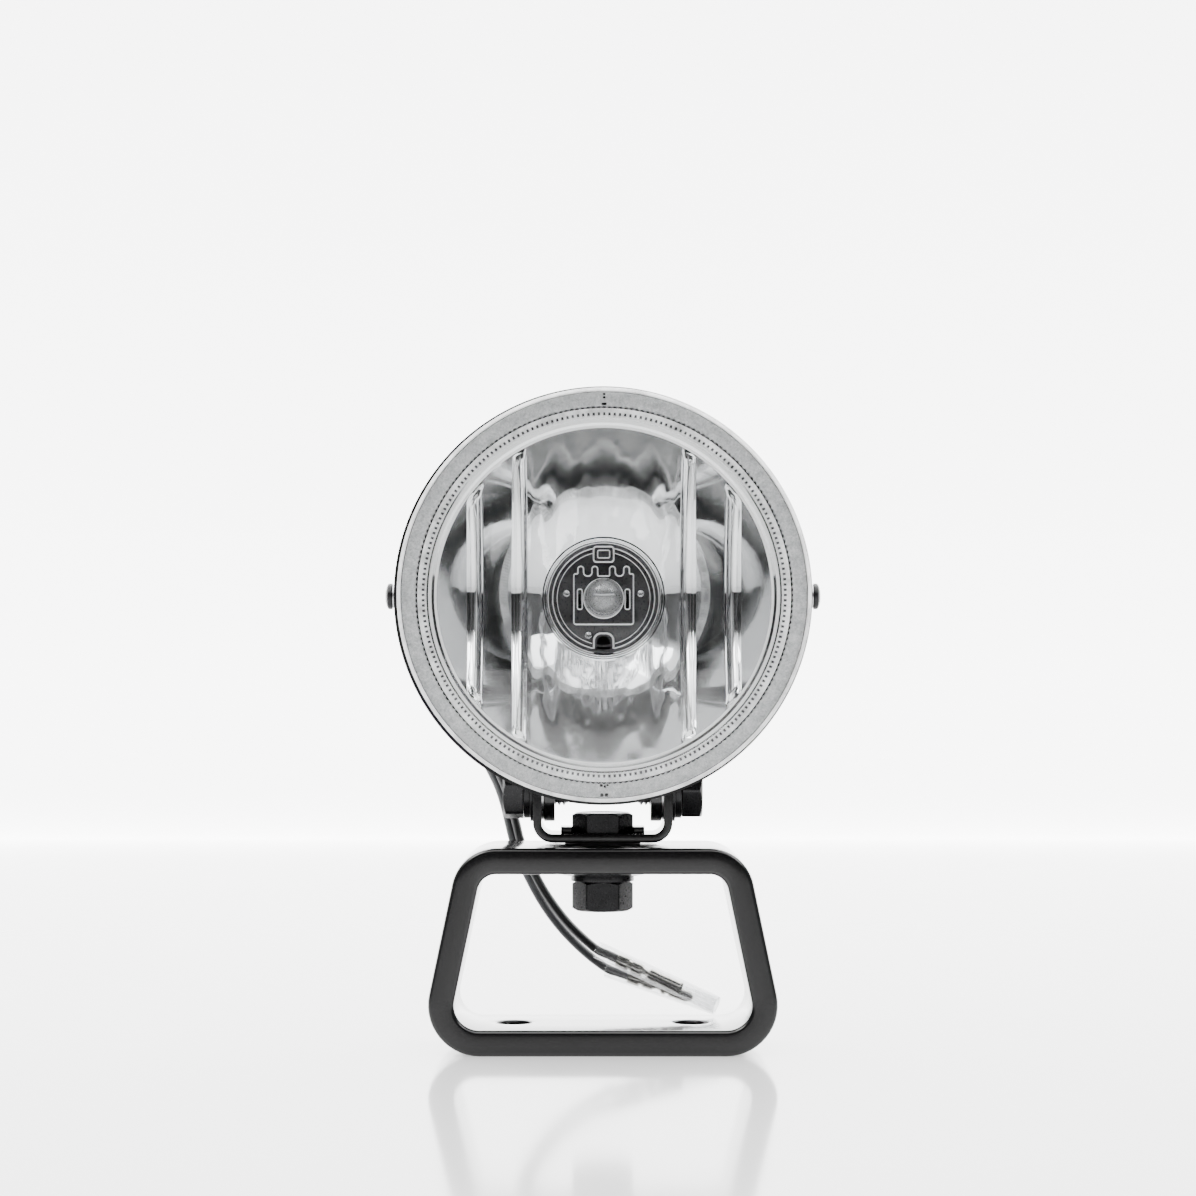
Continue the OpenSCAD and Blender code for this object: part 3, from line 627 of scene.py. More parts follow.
stand = build("stand_body", Shape().add(stand_ring()), BLACK_PAINT, "base", "stand", sharp=40)
half_mouth = [(7.5, -2), (7.5, 0.0), (MOUNT_MOUTH, 0.0), (MOUNT_R + 0.25, 0.18), (MOUNT_R, 0.6)]
hole_levels = [(0, -2), *half_mouth, *[(r, WALL - z) for r, z in reversed(half_mouth[1:])]]
hole_levels += [(7.5, 10), (0, 10)]
bolt_hole = turned([(0, 45), (HOLE_R, 45), (HOLE_R, 75), (0, 75)], 64)
mount_hole = turned(hole_levels, 64)
holes = [Shape().add(mount_hole, Matrix.Translation((x, 0, 0))) for x in (-MOUNT_X, MOUNT_X)]
for hole in (*holes, Shape().add(bolt_hole)):
    cutter = build("cutter", hole, BLACK_PAINT, "base", sharp=40)
    cut = stand.modifiers.new("cut", "BOOLEAN")
    cut.operation, cut.object, cut.solver = "DIFFERENCE", cutter, "EXACT"
    with bpy.context.temp_override(object=stand, active_object=stand, selected_objects=[stand]):
        bpy.ops.object.modifier_apply(modifier="cut")
    bpy.data.objects.remove(cutter)
stand.data.shade_smooth()
stand.data.set_sharp_from_angle(angle=math.radians(40))

boss = Shape()
upper = [(HOLE_R, 64.2), (18.9, 64.2), (18.5, 64.75, 0.4), (14.6, BOSS_TOP, 1.0), (5.5, BOSS_TOP, 0.3),
         (HOLE_R, 64.7)]
lower = [(HOLE_R, 57.4), (19.4, 57.2), (18.3, 56.3, 0.8), (11.4, BOSS_UNDER, 0.9), (5.5, BOSS_UNDER, 0.3),
         (HOLE_R, 55.2)]
for outline in (upper, lower):
    boss.add(turned(fillet(outline), 96, closed=True))
build("stand_boss", boss, BLACK_PAINT, "base", sharp=40)


# ---------- U bracket ----------

FLAT, BEND_R = 15.6, 4.95
BEND = BEND_R * math.pi / 2
STRIP_T, STRIP_Z = 2.7, 67.05
PIVOT_R = 11


def bend_strip(bm):
    """Folds the flat blank into the U: the strip runs along x, its outer side faces down."""
    for k in range(13):
        for side in (-1, 1):
            at = (side * (FLAT + BEND * k / 12) * MM, 0, 0)
            everything = [*bm.verts, *bm.edges, *bm.faces]
            bmesh.ops.bisect_plane(bm, geom=everything, dist=1e-9, plane_co=at, plane_no=(1, 0, 0))
    for v in bm.verts:
        s, out = abs(v.co.x) / MM, -v.co.z / MM
        sign = 1 if v.co.x >= 0 else -1
        if s <= FLAT:
            x, z = s, STRIP_Z - out
        elif s <= FLAT + BEND:
            a = (s - FLAT) / BEND_R
            x, z = FLAT + (BEND_R + out) * math.sin(a), STRIP_Z + BEND_R - (BEND_R + out) * math.cos(a)
        else:
            x, z = FLAT + BEND_R + out, STRIP_Z + BEND_R + (s - FLAT - BEND)
        v.co = Vector((sign * x * MM, v.co.y, z * MM))


ARM_HOLE = FLAT + BEND + TILT_Z - STRIP_Z - BEND_R
blank = []
for side in (1, -1):
    for a in np.linspace(-math.pi / 2, math.pi / 2, 33):
        blank.append((side * (ARM_HOLE + PIVOT_R * math.cos(a)), side * PIVOT_R * math.sin(a)))
bolt_holes = [circle(HOLE_R, -ARM_HOLE), circle(HOLE_R), circle(HOLE_R, ARM_HOLE)]
strip = Shape().add(prism(blank, -STRIP_T / 2, STRIP_T / 2, bolt_holes))
build("yoke_strip", strip, BRACKET_PAINT, "yoke", "yoke", bevel=0.45, segments=3, bend=bend_strip,
      sharp=40)
tabs = Shape()
for side in (-1, 1):
    left, right = sorted((side * 9.5, side * 13.2))
    tabs.add(prism(rounded_box(left, -5, right, 5, 0.9), 68.2, 70.4))
build("yoke_tabs", tabs, BRACKET_PAINT, "yoke", bevel=0.5, segments=3, sharp=40)


# ---------- fasteners ----------

FLATS = 17.0
HEAD_H, NUT_H = 6.4, 9.4
FACE_R = 8.25
CHAMFER = math.tan(math.radians(30))
THREAD_R, SHANK_R = 5.0, 4.95
PITCH, THREAD_DEPTH = 1.5, 0.85


def hexagon(angle):
    """The hexagon's radius at an angle, with its corners slightly worn."""
    turn = (angle + math.pi / 6) % (math.pi / 3) - math.pi / 6
    return min(FLATS / 2 / math.cos(turn), FLATS / math.sqrt(3) - 0.16)


def chamfer(angle):
    """How far a hexagon's chamfer falls below its face at an angle."""
    return (hexagon(angle) - FACE_R) * CHAMFER


def hex_top(height):
    """The chamfered upper end of a hexagon's side."""
    return [
        lambda a: (hexagon(a), height - chamfer(a) - 0.05),
        lambda a: (hexagon(a) - 0.06, height - chamfer(a)),
        (FACE_R, height),
    ]


def head():
    seat = [(0, 0), lambda a: (hexagon(a) - 0.12, 0.0), lambda a: (hexagon(a), 0.12)]
    face = [(7.4, HEAD_H), (7.2, HEAD_H - 0.18), (0, HEAD_H - 0.2)]
    return turned([*seat, *hex_top(HEAD_H), *face], 144)


def thread(radius, length):
    """A threaded shank from z = 0 down to -length, its end chamfered."""
    rings = []
    steps = int(length / PITCH * 8)
    for i in range(steps + 1):
        z = -length * i / steps
        ring = []
        for k in range(64):
            turn = k / 64
            wave = abs(2 * ((z / PITCH + turn) % 1) - 1)
            r = radius - THREAD_DEPTH * max(0.0, min(1.0, 1.25 * wave - 0.12))
            r = min(r, radius - 1.1 + (length + z) * 1.2)
            ring.append((*polar(r, 2 * math.pi * turn), z))
        rings.append(ring)
    return loft([[(0, 0, 0)], *rings, [(0, 0, -length)]])


def shank(radius, length):
    return turned([(0, 0.1), (radius, 0.1), (radius, -length), (0, -length)], 64)


def washer(outer, inner, thick, edge=0.25):
    corners = [(inner, 0, edge), (outer, 0, edge), (outer, thick, edge), (inner, thick, edge)]
    return turned(fillet(corners), 96, closed=True)


def spring_washer(outer, inner, thick, gap_at):
    """A split ring whose two ends stand slightly apart."""
    half_gap, rise, edge = 0.1, 0.12, 0.2
    corners = [(inner, rise), (outer, rise), (outer, thick - rise), (inner, thick - rise)]
    section = fillet([(*corner, edge) for corner in corners])
    rings = []
    for k in range(97):
        share = k / 96
        a = gap_at + half_gap + (2 * math.pi - 2 * half_gap) * share
        lift = rise * (2 * share - 1)
        rings.append([(*polar(r, a), z + lift) for r, z in section])
    points, faces = loft(rings)
    n = len(section)
    faces += [list(range(n)), [len(points) - 1 - k for k in range(n)]]
    return points, faces


def upright(z):
    """The frame of a hexagon on the swivel axis, turned with a corner to the front."""
    return Matrix.Translation((0, 0, z)) @ Matrix.Rotation(math.radians(30), 4, "Z")


BOLT_SEAT = STRIP_Z + STRIP_T / 2
WASHER_OUT, WASHER_BORE, WASHER_T = 10, 5.25, 1.7
WASHER_LOW = BOSS_UNDER - WASHER_T
NUT_LOW = WASHER_LOW - NUT_H
bolt = Shape().add(head(), upright(BOLT_SEAT))
bolt.add(shank(SHANK_R, 15), upright(BOLT_SEAT))
bolt.add(thread(THREAD_R, 9.7), Matrix.Translation((0, 0, WASHER_LOW + 0.3)))
build("swivel_bolt_made", bolt, BLACK_ZINC, "yoke", sharp=28)
flat_washer = Shape().add(washer(WASHER_OUT, WASHER_BORE, WASHER_T), Matrix.Translation((0, 0, WASHER_LOW)))
build("swivel_washer_made", flat_washer, BLACK_ZINC, "yoke")
nut_levels = [
    lambda a: (hexagon(a) - 0.06, chamfer(a)),
    lambda a: (hexagon(a), chamfer(a) + 0.05),
    *hex_top(NUT_H),
    (6.0, NUT_H), (THREAD_R, NUT_H - 0.9), (THREAD_R, 0.9), (6.0, 0.0), (FACE_R, 0.0),
]
nut = lathe(nut_levels, 144, closed=True, place=upright(NUT_LOW))
build("swivel_nut_made", nut, BLACK_ZINC, "yoke", sharp=28)

LUG_X, ARM_X = 18.6, FLAT + BEND_R + STRIP_T / 2
SPRING_X, HEAD_X = ARM_X + 1.0, ARM_X + 3.2
pivots, springs, flats = Shape(), Shape(), Shape()
for side, turn in ((1, 89), (-1, 78.5)):
    at = pivot(side, HEAD_X) @ Matrix.Rotation(math.radians(turn), 4, "Z")
    pivots.add(head(), at)
    pivots.add(shank(SHANK_R, 6.6), at)
    pivots.add(thread(THREAD_R, 7.6), pivot(side, LUG_X))
    springs.add(spring_washer(9, 5.2, 2.2, math.radians(152)), pivot(side, SPRING_X))
    flats.add(washer(WASHER_OUT, WASHER_BORE, 0.95, 0.2), pivot(side, ARM_X + 0.04))
build("pivot_bolts_made", pivots, BLACK_ZINC, "lamp", sharp=28)
build("pivot_spring_washers_made", springs, BLACK_ZINC, "lamp")
build("pivot_flat_washers_made", flats, BLACK_ZINC, "lamp")


# ---------- housing ----------

BOWL_R, BOWL_DEPTH, SHEET = 54, 50, 1.6
BOWL_START, BOWL_END = 5, 76  # degrees round the bowl's profile
RIM_R, RIM_FRONT = 64.1, 33.0
BACK_Z = 13 - BOWL_DEPTH * math.sin(math.radians(BOWL_END))


def bowl_profile(inset, angles):
    """Points of the bowl's profile, inset from its outside."""
    turns = [math.radians(a) for a in angles]
    return [((BOWL_R - inset) * math.cos(a), 13 - (BOWL_DEPTH - inset) * math.sin(a)) for a in turns]


rim = [(RIM_R - 1.2, RIM_FRONT), (RIM_R, RIM_FRONT, 0.12), (RIM_R, 21.4, 0.9), (54.6, 13.6, 2.2)]
shell = fillet([*rim, (BOWL_R * math.cos(0.06), 13 - BOWL_DEPTH * math.sin(0.06))], closed=False)
shell += bowl_profile(0, range(BOWL_START, BOWL_END + 1, 3)) + [(0, BACK_Z)]
inside = [(0, BACK_Z + SHEET * math.sin(math.radians(BOWL_END)))]
inside += bowl_profile(SHEET, range(BOWL_END, BOWL_START - 1, -3))
inside += [(BOWL_R - SHEET, 14), (RIM_R - 1.2, 21.8)]
shell_shape = lathe(shell + inside, 192, closed=True)
build("housing_shell", shell_shape, HOUSING_BLACK, "lamp", "housing", home=LAMP, sharp=40)


# ---------- glass ----------

TEETH = 216
GLASS_R, GLASS_FRONT, GLASS_BACK = 63.4, 36, 33.1
EDGE_FROM = GLASS_R - 1.1
SPIGOT_R, SPIGOT_BORE = 57.2, 54.8


def crown(r):
    """How far the glass bulges at a radius."""
    return 1.2 * (1 - (r / SPIGOT_R) ** 2)


outer_face = [(r, GLASS_FRONT + crown(r)) for r in range(0, 55, 3)]
inner_face = [(r, 33 + crown(r)) for r in range(54, -1, -3)]
flange = [(SPIGOT_R, GLASS_FRONT), (EDGE_FROM, GLASS_FRONT)]
flange += [(EDGE_FROM, GLASS_BACK), (57.35, GLASS_BACK, 0.12)]
lens_profile = outer_face + fillet([outer_face[-1], *flange, (SPIGOT_R, 32.9)], closed=False)[1:-1]
lens = lathe([*lens_profile, (SPIGOT_R, GLASS_BACK), (SPIGOT_BORE, 33.0), *inner_face], 288)
edge_front = [(EDGE_FROM, GLASS_FRONT), (62.5, GLASS_FRONT, 0.15), (GLASS_R, 35.1, 0.7)]
edge_ring = fillet([*edge_front, (GLASS_R, 33.9, 0.5), (62.5, GLASS_BACK, 0.4), (EDGE_FROM, GLASS_BACK)])


def teeth_ring(low, high, back, front, share):
    """Small blocks in a ring, one for each tooth of the knurl."""
    shape, half = Shape(), math.pi / TEETH * share
    for middle in round_angles(TEETH):
        corners = ((low, -1), (high, -0.8), (high, 0.8), (low, 1))
        outline = [polar(r, middle + half * c) for r, c in corners]
        shape.add(prism(outline, back, front))
    return shape


def knurl(r, z, depth):
    """A level of the spigot whose radius swells at every tooth."""
    return lambda a: (r + depth * (0.5 - 0.5 * math.cos(TEETH * a)) ** 0.7, z)


spigot_levels = [
    (SPIGOT_R, GLASS_BACK, -0.02), (SPIGOT_R, 31.5, -0.05), (57.15, 29.75, -0.12), (56.9, 29.5, -0.1),
    (55.3, 29.5, 0.3), (SPIGOT_BORE, 29.8, 0.55), (SPIGOT_BORE, 32.0, 0.5), (SPIGOT_BORE, 33.0, 0.1),
]
spigot = [knurl(*level) for level in spigot_levels]
optic("front_glass_made", lens, LENS_GLASS, sharp=35)
# The spigot's white is painted light, standing in for light refracted through the clear glass.
optic("front_glass_spigot", lathe(spigot, TEETH * 6, closed=True), PAINTED_LIGHT_GLASS)
# The outer edge ring's white is a painted highlight on the glass's rounded edge.
optic("front_glass_edge", lathe(edge_ring, 288, closed=True), PAINTED_LIGHT_GLASS)
# Dark blocks at the knurl teeth: painted shade where the teeth darken the clear glass.
optic("front_glass_knurl_painted_shade", teeth_ring(55.0, 55.9, 30.0, 33.08, 0.5), PAINTED_SHADE_AND_MARK_GLASS)
marks = Shape()
for x, y, half_w, half_h in (
    (0, 61.5, 0.4, 0.3), (0, 60.5, 0.4, 0.3), (0, 58.5, 0.8, 0.35),
    (-0.9, -58.3, 0.45, 0.4), (0.2, -58.6, 0.35, 0.4), (1.0, -58.2, 0.35, 0.3),
    (-0.7, -61.2, 0.5, 0.5), (0.7, -61.2, 0.5, 0.5),
):
    marks.add(prism(rounded_box(x - half_w, y - half_h, x + half_w, y + half_h, 0.25), 33.03, 33.09))
optic("front_glass_marks", marks, PAINTED_SHADE_AND_MARK_GLASS)


# ---------- reflector ----------

NECK, MOUTH = 19.5, 51.5
VERTEX, FOCUS = -4.5, 20
RIB_HALF, RIB_RISE = 2.0, 2.6
SWELL, RIPPLE = 0.13, 0.012
RIBS = (-39.5, -26.0, 26.0, 39.5)
FLUTES = (-24.0, -14.6, 0.0, 14.6, 24.0)


def ease(value):
    """A smooth step from 0 to 1."""
    t = max(0.0, min(1.0, value))
    return t * t * (3 - 2 * t)


def bowl_height(x, y):
    """The reflector's front surface: a paraboloid with swelling flutes and four half-round ribs."""
    r = math.hypot(x, y)
    z = VERTEX + r * r / (4 * FOCUS)
    rim_gap = MOUTH - 0.6 - r
    for a, b in zip(FLUTES, FLUTES[1:]):
        if a <= x <= b:
            swell = math.sin(math.pi * (x - a) / (b - a)) ** 2
            ripple = RIPPLE * math.sin(0.85 * y + 1.2 * math.sin(0.45 * x)) * math.sin(0.9 * x)
            z += (SWELL + ripple) * swell * ease(rim_gap / 10)
    for centre in RIBS:
        off = (x - centre) / RIB_HALF
        if abs(off) < 1:
            z += RIB_RISE * math.sqrt(1 - off * off) * ease(rim_gap / 2)
    return z


def bowl_sheet():
    """The fluted, ribbed bowl as upright columns between the neck's and the mouth's circles."""
    rounds = [(0, MOUTH, 181), (0, NECK, 61), *[(centre, RIB_HALF, 15) for centre in RIBS]]
    columns = set()
    for centre, radius, count in rounds:
        turns = np.linspace(-math.pi / 2, math.pi / 2, count)
        columns |= {round(centre + radius * math.sin(a), 3) for a in turns}
    for a, b in zip(FLUTES, FLUTES[1:]):
        columns |= {round(a + (b - a) * k / 16, 3) for k in range(17)}
    keep = []
    fixed = {c + s for c in RIBS for s in (-RIB_HALF, RIB_HALF)} | set(FLUTES) | {MOUTH, -MOUTH, NECK, -NECK}
    for x in sorted(columns):
        crowded = keep and x - keep[-1] < 0.12
        if crowded and x not in fixed:
            continue
        if crowded and keep[-1] not in fixed:
            keep.pop()
        keep.append(x)
    rows = 48
    points, faces = [], []
    for up in (1, -1):
        start = len(points)
        for x in keep:
            low = math.sqrt(max(NECK**2 - x * x, 0))
            high = math.sqrt(max(MOUTH**2 - x * x, 0))
            for k in range(rows + 1):
                y = up * (low + (high - low) * k / rows)
                points.append((x, y, bowl_height(x, y)))
        for i in range(len(keep) - 1):
            for k in range(rows):
                a = start + i * (rows + 1) + k
                faces.append([a, a + rows + 1, a + rows + 2, a + 1])
    return points, faces


reflector = Shape().add(bowl_sheet())
back = [(r, VERTEX - 2.2 + r * r / (4 * FOCUS)) for r in range(24, 52, 3)]
neck = [(NECK, 0.26), (NECK, -6.3), (NECK + 0.2, -6.5), (NECK + 1.4, -6.5), (21.0, -6.3), (21.0, -1.2)]
skirt = [(53.3, 28.1), (61.0, 28.1), (61.0, 22.0), (62.3, 22.0), (62.3, 29.2), (62.1, 29.4), (53.9, 29.4)]
reflector.add(turned([*neck, *back, *skirt, (53.4, 29.3), (52.2, 28.85), (MOUTH, 28.64)], 288))
optic("reflector_made", reflector, CHROME, sharp=28)
lip = [
    (MOUTH, 28.66), (52.2, 28.88), (52.5, 28.9), (53.4, 29.33), (54.1, 29.43), (54.25, 29.28),
    (54.5, 29.28), (54.65, 29.43), (57.3, 29.43), (57.3, 28.3), (51.6, 28.3),
]
optic("reflector_lip", lathe(lip, 288, closed=True), SATIN_CHROME)


def scallop(r, z):
    """A level of the bonding ring, pressed against the glass's teeth."""
    return lambda a: (r + 0.45 * abs(math.cos(TEETH / 2 * a)), z)


bond_outer = [(62.15, 29.45), (62.15, 32.85), (62.0, 33.02)]
bond_levels = [scallop(57.5, 29.45), *bond_outer, scallop(57.65, 33.02), scallop(57.5, 32.9)]
optic("bonding_ring_made", lathe(bond_levels, TEETH * 6, closed=True), BOND)


# ---------- bulb and holder ----------

PLATE_BACK, PLATE = -6.3, -5.3
CLIP_BACK, CLIP = -4.7, -3.9


def slot_outlines(x, half_w, low, high, radius):
    """The upright slots on both sides of the bulb."""
    return [rounded_box(s * x - half_w, low, s * x + half_w, high, radius) for s in (-1, 1)]


notch = fillet([(-2.1, -17.2, 0.5), (2.1, -17.2, 0.5), (2.1, -12.0, 1.9), (-2.1, -12.0, 1.9)])
openings = [circle(7.4, steps=64), *slot_outlines(7.4, 0.75, -4.4, 1.6, 0.7), notch]
holder = Shape().add(prism(circle(17.85, steps=96), PLATE_BACK, PLATE, openings))
optic("bulb_holder_disc", holder, HOLDER_BLACK, "bulb_holder", bevel=0.3, segments=3)
details = Shape()
details.add(turned(bead_section(0.78, 17.1, -5.0, 16), 96, closed=True))
details.add(turned(bead_section(0.35, 15.2, -5.25, 12), 96, closed=True))
arch_corners = [(-3.1, -16.0, 0.5), (-3.1, -11.1, 2.6), (3.1, -11.1, 2.6), (3.1, -16.0, 0.5)]
arch = fillet(arch_corners, closed=False, steps=8)
details.add(tube([(x, y, -5.05) for x, y in arch], 0.6, 12))
optic("bulb_holder_details", details, HOLDER_BLACK)
tab_outline = fillet([(-3.35, 11.4, 0.5), (3.35, 11.4, 0.5), (3.1, 16.5, 0.9), (-3.1, 16.5, 0.9)])
tab_boss = fillet([(-1.9, 12.9, 0.4), (1.9, 12.9, 0.4), (1.9, 15.3, 0.4), (-1.9, 15.3, 0.4)])
tab = Shape().add(prism(tab_outline, PLATE - 0.1, -4.05)).add(prism(tab_boss, -4.1, -3.65))
optic("bulb_holder_tab", tab, HOLDER_BLACK, bevel=0.42, segments=3)

ring_outline = fillet([(18.05, -6.3, 0.2), (19.35, -6.3, 0.2), (19.35, -3.4, 0.6), (18.05, -3.1, 0.6)])
optic("holder_ring_made", lathe(ring_outline, 144, closed=True), CHROME)

rivet_shank = [(0, -7.1), (0.75, -7.1), (0.75, PLATE), (1.35, PLATE)]
rivet_head = [(1.3, -4.95), (1.0, -4.62), (0.75, -4.52), (0.45, -4.62), (0, -4.66)]
rivet_shape = Shape()
for x, y in ((-11.8, 1.6), (11.8, 1.6), (-4.8, -11.7)):
    rivet_shape.add(turned([*rivet_shank, *rivet_head], 32), Matrix.Translation((x, y, 0)))
optic("holder_rivets_made", rivet_shape, CLIP_STEEL, sharp=40)

half_clip = [
    (9.5, -8.3, 0.8), (9.5, 7.8, 0.5), (8.2, 7.8, 0.3), (8.2, 10.2, 0.85), (6.4, 10.2, 0.85), (6.4, 7.1, 1.2),
    (3.7, 7.1, 1.2), (3.7, 10.2, 0.85), (1.9, 10.2, 0.85), (1.9, 7.1, 0.4),
]
prongs = fillet(half_clip + [(-x, y, r) for x, y, r in reversed(half_clip)], steps=4)
clip_openings = [circle(6.1, steps=64), *slot_outlines(7.4, 0.8, -3.5, 2.9, 0.6)]
clip = Shape().add(prism(prongs, CLIP_BACK, CLIP, clip_openings))
optic("bulb_clip_made", clip, HOLDER_BLACK, bevel=0.25, segments=3)


def edge_bead(outline, z, radius):
    """A thin round bead along a closed outline."""
    rings = []
    for i, (x, y) in enumerate(outline):
        (ax, ay), (bx, by) = outline[i - 1], outline[(i + 1) % len(outline)]
        run = math.hypot(bx - ax, by - ay)
        nx, ny = (by - ay) / run, (ax - bx) / run
        section = bead_section(radius, 0, z, 8)
        rings.append([(x + out * nx, y + out * ny, height) for out, height in section])
    return loft(rings, closed=True)


# Thin bright beads along the clip, slots, tab, arch and rings of the holder: painted highlights on its edges.
highlight_beads = Shape()
highlight_beads.add(edge_bead(prongs, CLIP - 0.05, 0.24))
highlight_beads.add(edge_bead(circle(6.35, steps=64), CLIP, 0.2))
for outline in slot_outlines(7.6, 0.75, -3.5, 2.9, 0.5):
    highlight_beads.add(edge_bead(outline, CLIP, 0.2))
highlight_beads.add(edge_bead(rounded_box(-3.2, 11.6, 3.2, 16.5, 0.9), -4.05, 0.27))
highlight_beads.add(edge_bead(rounded_box(-1.9, 12.9, 1.9, 15.3, 0.4), -3.7, 0.2))
for radius, z, thick in ((14.9, -5.2, 0.2), (16.3, -4.75, 0.24), (17.7, -4.5, 0.18)):
    gap = 3.2 / radius
    turn = np.linspace(gap - math.pi / 2, 1.5 * math.pi - gap, 96)
    highlight_beads.add(tube([(*polar(radius, a), z) for a in turn], thick, 8))
highlight_beads.add(tube([(x, y, -4.7) for x, y in arch], 0.36, 10))
optic("bulb_holder_painted_highlights", highlight_beads, PAINTED_HIGHLIGHT_METAL)

base_corners = [(0, -9.3), (6.9, -9.3, 0.4), (6.9, -5.4), (7.25, -5.3, 0.2), (7.25, -4.75, 0.2), (0, -4.72)]
optic("bulb_base_made", lathe(fillet(base_corners, closed=False), 64), BRIGHT_STEEL)

BULB_R, BULB_BORE, TIP_Z, TIP_RISE = 5.75, 4.95, 16, 4.5


def bulb_tip(inset, angles):
    """The bulb's rounded end, inset from its outside."""
    turns = [math.radians(a) for a in angles]
    return [((BULB_R - inset) * math.cos(a), TIP_Z + (TIP_RISE - inset) * math.sin(a)) for a in turns]


bulb_wall = BULB_R - BULB_BORE
bulb = [(BULB_BORE, CLIP_BACK), (BULB_R, CLIP_BACK), (BULB_R, 6), *bulb_tip(0, range(0, 86, 8))]
bulb += [(0, TIP_Z + TIP_RISE), (0, TIP_Z + TIP_RISE - bulb_wall)]
bulb += [*bulb_tip(bulb_wall, range(88, -1, -8)), (BULB_BORE, 6)]
optic("bulb_glass_made", lathe(bulb, closed=True), BULB_GLASS, sharp=40)

posts = Shape()
for side in (-1, 1):
    bends = ((2.6, CLIP_BACK), (2.6, 6), (2.62, 13.6), (2.75, 14.6), (2.5, 15.2))
    posts.add(tube(smooth_line([(side * x, 0, z) for x, z in bends]), 0.22, 12))
posts.add(tube([(-3.2, 0.9, 4.6), (0, 0.7, 4.7), (3.2, 0.9, 4.6)], 0.5, 10))
optic("filament_posts_made", posts, TUNGSTEN)
COIL_HALF, COIL_R, COIL_TURNS, COIL_Z = 2.5, 0.3, 14, 15.5
coil = []
for k in range(COIL_TURNS * 12 + 1):
    a = 2 * math.pi * k / 12
    x = -COIL_HALF + 2 * COIL_HALF * k / (COIL_TURNS * 12)
    coil.append((x, COIL_R * math.cos(a), COIL_Z + COIL_R * math.sin(a)))
optic("filament_coil", Shape().add(tube(coil, 0.08, 6)), TUNGSTEN, "filament")


# ---------- screws, collars and other small parts ----------

COLLAR_T = 0.8
GLAND, GLAND_LOW = Matrix.Translation((-39, 12, 0)), 107.6


def beside(side, x):
    """The frame on a side screw's axis whose local z axis points outwards on that side."""
    return Matrix(((0, 0, side, side * x), (0, 1, 0, 0), (-1, 0, 0, 25), (0, 0, 0, 1)))


screws, collars = Shape(), Shape()
dome = [(4 * math.cos(math.radians(a)), 1.0 + 1.2 * math.sin(math.radians(a))) for a in range(0, 70, 10)]
recess = [(1.9, 2.12), (1.5, 1.9), (0.9, 1.0), (0, 0.9)]
screw_shank = [(0, 0.1), (2.0, 0.1), (2.0, -7.6), (1.2, -8.5), (0, -8.5)]
for side in (-1, 1):
    screws.add(turned([(0, 0), (3.8, 0), (4.0, 0.15), *dome, *recess], 64), beside(side, RIM_R + COLLAR_T))
    screws.add(turned(screw_shank, 32), beside(side, RIM_R + COLLAR_T))
    collars.add(washer(3.5, 2.15, COLLAR_T, 0.15), beside(side, RIM_R))
build("side_screws_made", screws, BLACK_ZINC, "lamp", home=LAMP, sharp=40)
build("side_collars_made", collars, BRIGHT_STEEL, "lamp", home=LAMP)
gland_outline = fillet([(4.5, GLAND_LOW, 0.3), (5.9, GLAND_LOW, 0.5), (5.9, 130.8, 0.4), (4.5, 131)])
gland_boss = lathe(gland_outline, 64, closed=True, place=GLAND)
build("housing_gland_boss", gland_boss, HOUSING_BLACK, "lamp", sharp=40)

sleeve_ridges = [
    (3.6, 100, 0.4), (3.9, 101.7), (3.95, 101.9, 0.1), (3.7, 102.3, 0.1),
    (4.2, 103.9), (4.2, 104.1, 0.1), (3.95, 104.5, 0.1),
]
plug = [(4.5, 106.0, 0.3), (5.4, 106.0, 0.5), (5.4, GLAND_LOW, 0.3), (4.4, GLAND_LOW), (4.4, 112.6, 0.5)]
grommet_outline = fillet([(0, 100), *sleeve_ridges, *plug, (0, 112.6)], closed=False)
grommet = lathe(grommet_outline, 64, place=GLAND)
build("grommet_made", grommet, RUBBER, "lamp", sharp=40)

breather_corners = [
    (0, BACK_Z + 3.4), (2.4, BACK_Z + 3.4), (2.4, BACK_Z), (5.0, BACK_Z), (4.9, BACK_Z - 0.8, 0.3),
    (4.2, BACK_Z - 3, 0.7), (1.2, BACK_Z - 3, 0.3), (0.9, BACK_Z - 2.2), (0, BACK_Z - 2.2),
]
breather_outline = fillet(breather_corners, closed=False)
build("breather_made", lathe(breather_outline, 64), RUBBER, "lamp", home=LAMP, sharp=40)

remake("saddle", BRACKET_PAINT, 0.5, 3)
remake("feed_connector", NYLON, 0.3)
remake("bulb_blade", BRIGHT_STEEL, 0.1)
remake("earth_ring", BRASS, 0.12)
remake("nut_clips", BRIGHT_STEEL, 0.15)

PIGTAIL_R = 1.2
FEED_ROUTE = [
    (0, 17.35, 142.6), (0, 19.5, 142.6), (-1.6, 22.6, 142.2), (-5.4, 25.4, 141), (-11, 26.5, 138),
    (-18, 25.5, 134), (-25, 22.5, 130), (-31, 19, 127), (-36, 15.5, 124.5), (-39.8, 12.8, 121.5),
    (-40.5, 12, 118), (-40.5, 12, 112.65),
]
EARTH_ROUTE = [
    (-4.5, 8.4, 128), (-5.3, 9.4, 125.4), (-9, 12, 123.2), (-14.5, 14.5, 122), (-21, 16, 121.8),
    (-28, 16, 121.8), (-34, 14.5, 121.5), (-36.9, 12.6, 119.6), (-37.5, 12, 117), (-37.5, 12, 112.65),
]
for word, route, look in (("feed", FEED_ROUTE, GREY_PVC), ("earth", EARTH_ROUTE, BLACK_PVC)):
    pigtail = Shape().add(tube(smooth_line(route), PIGTAIL_R, 16))
    build(f"{word}_pigtail_made", pigtail, look, "lamp")

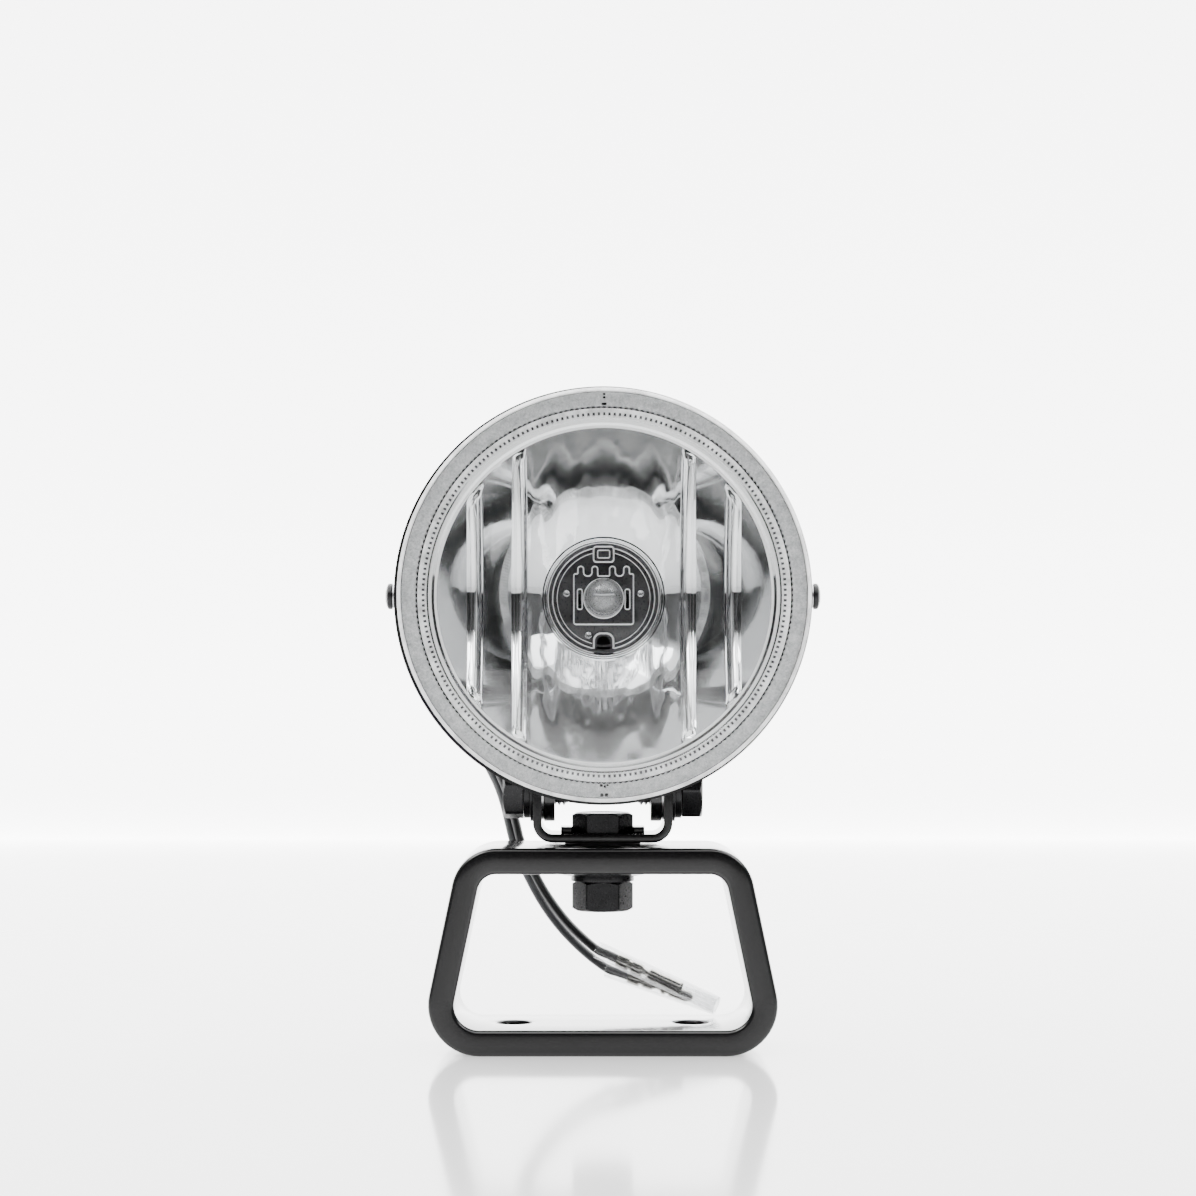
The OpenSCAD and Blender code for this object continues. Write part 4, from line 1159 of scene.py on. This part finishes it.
for node, (material, slot) in (("swivel_pad", PAD), ("pivot_discs", BRIGHT_STEEL), ("rim_gasket", RUBBER)):
    cad = frame["nodes"][node]
    cad.data.materials.clear()
    cad.data.materials.append(material)


# ---------- studio ----------

OVERHEAD, ZENITH, BEHIND, SIDES, FRONT = 3.0, 2.5, 6.0, 0.12, 0.02


def floor_sweep():
    """A pale floor that curves up into a backdrop behind the object."""
    line = [(-4.0, 0.0), (1.2, 0.0)]
    line += [(1.2 + 0.9 * math.sin(a), 0.9 - 0.9 * math.cos(a)) for a in np.linspace(0.08, math.pi / 2, 16)]
    line += [(2.1, 4.0)]
    points = [(x, y, z) for x in (-4.0, 4.0) for y, z in line]
    n = len(line)
    mesh = bpy.data.meshes.new("floor")
    mesh.from_pydata(points, [], [[k, k + 1, n + k + 1, n + k] for k in range(n - 1)])
    mesh.shade_smooth()
    nodes = material_nodes("floor")
    coords = nodes.object_coords()
    y = nodes.add("SeparateXYZ", {0: coords}).outputs[1]
    shader = nodes.add("BsdfPrincipled", {
        "Base Color": nodes.ramp(nodes.noise(coords, 3, 2), [(0.3, 0.4), (0.7, 0.43)]),
        "Roughness": nodes.remap(nodes.noise(coords, 40, 3), 0, 1, 0.08, 0.13),
        "Emission Color": (1, 1, 1, 1),
        "Emission Strength": nodes.remap(y, 0.9, 1.7, 0.6, BEHIND, "SMOOTHSTEP"),
    })
    mesh.materials.append(nodes.show(shader))
    obj = bpy.data.objects.new("floor", mesh)
    scene.collection.objects.link(obj)


floor_sweep()

world = bpy.data.worlds.new("studio")
scene.world = world
sky = Nodes(world, "OutputWorld")
_, ahead, up = sky.add("SeparateXYZ", {0: sky.add("TexCoord").outputs["Generated"]}).outputs
light = sky.remap(up, 0.48, 0.66, 0.0, OVERHEAD, "SMOOTHSTEP")
for part in (
    sky.remap(up, 0.76, 0.86, 0.0, ZENITH, "SMOOTHSTEP"),
    sky.remap(ahead, -0.1, 0.45, 0.0, BEHIND, "SMOOTHSTEP"),
    sky.remap(ahead, -0.95, -0.6, FRONT, SIDES, "SMOOTHSTEP"),
):
    light = sky.math("ADD", light, part)
seen = sky.add("LightPath").outputs["Is Camera Ray"]
light = sky.add("Mix", {0: seen, 2: light, 3: BEHIND}, data_type="FLOAT").outputs[0]
sky.show(sky.add("Background", {"Color": (1, 1, 1, 1), "Strength": light}))


def softbox(name, location, target, size, power):
    data = bpy.data.lights.new(name, "AREA")
    data.energy = power
    data.size = size
    light = bpy.data.objects.new(name, data)
    light.location = location
    light.rotation_euler = (Vector(target) - Vector(location)).to_track_quat("-Z", "Y").to_euler()
    scene.collection.objects.link(light)


softbox("key", (-0.9, -0.9, 1.5), (0, 0, 0.1), 0.7, 16)
softbox("fill", (1.1, -0.9, 1.2), (0, 0, 0.1), 0.6, 8)
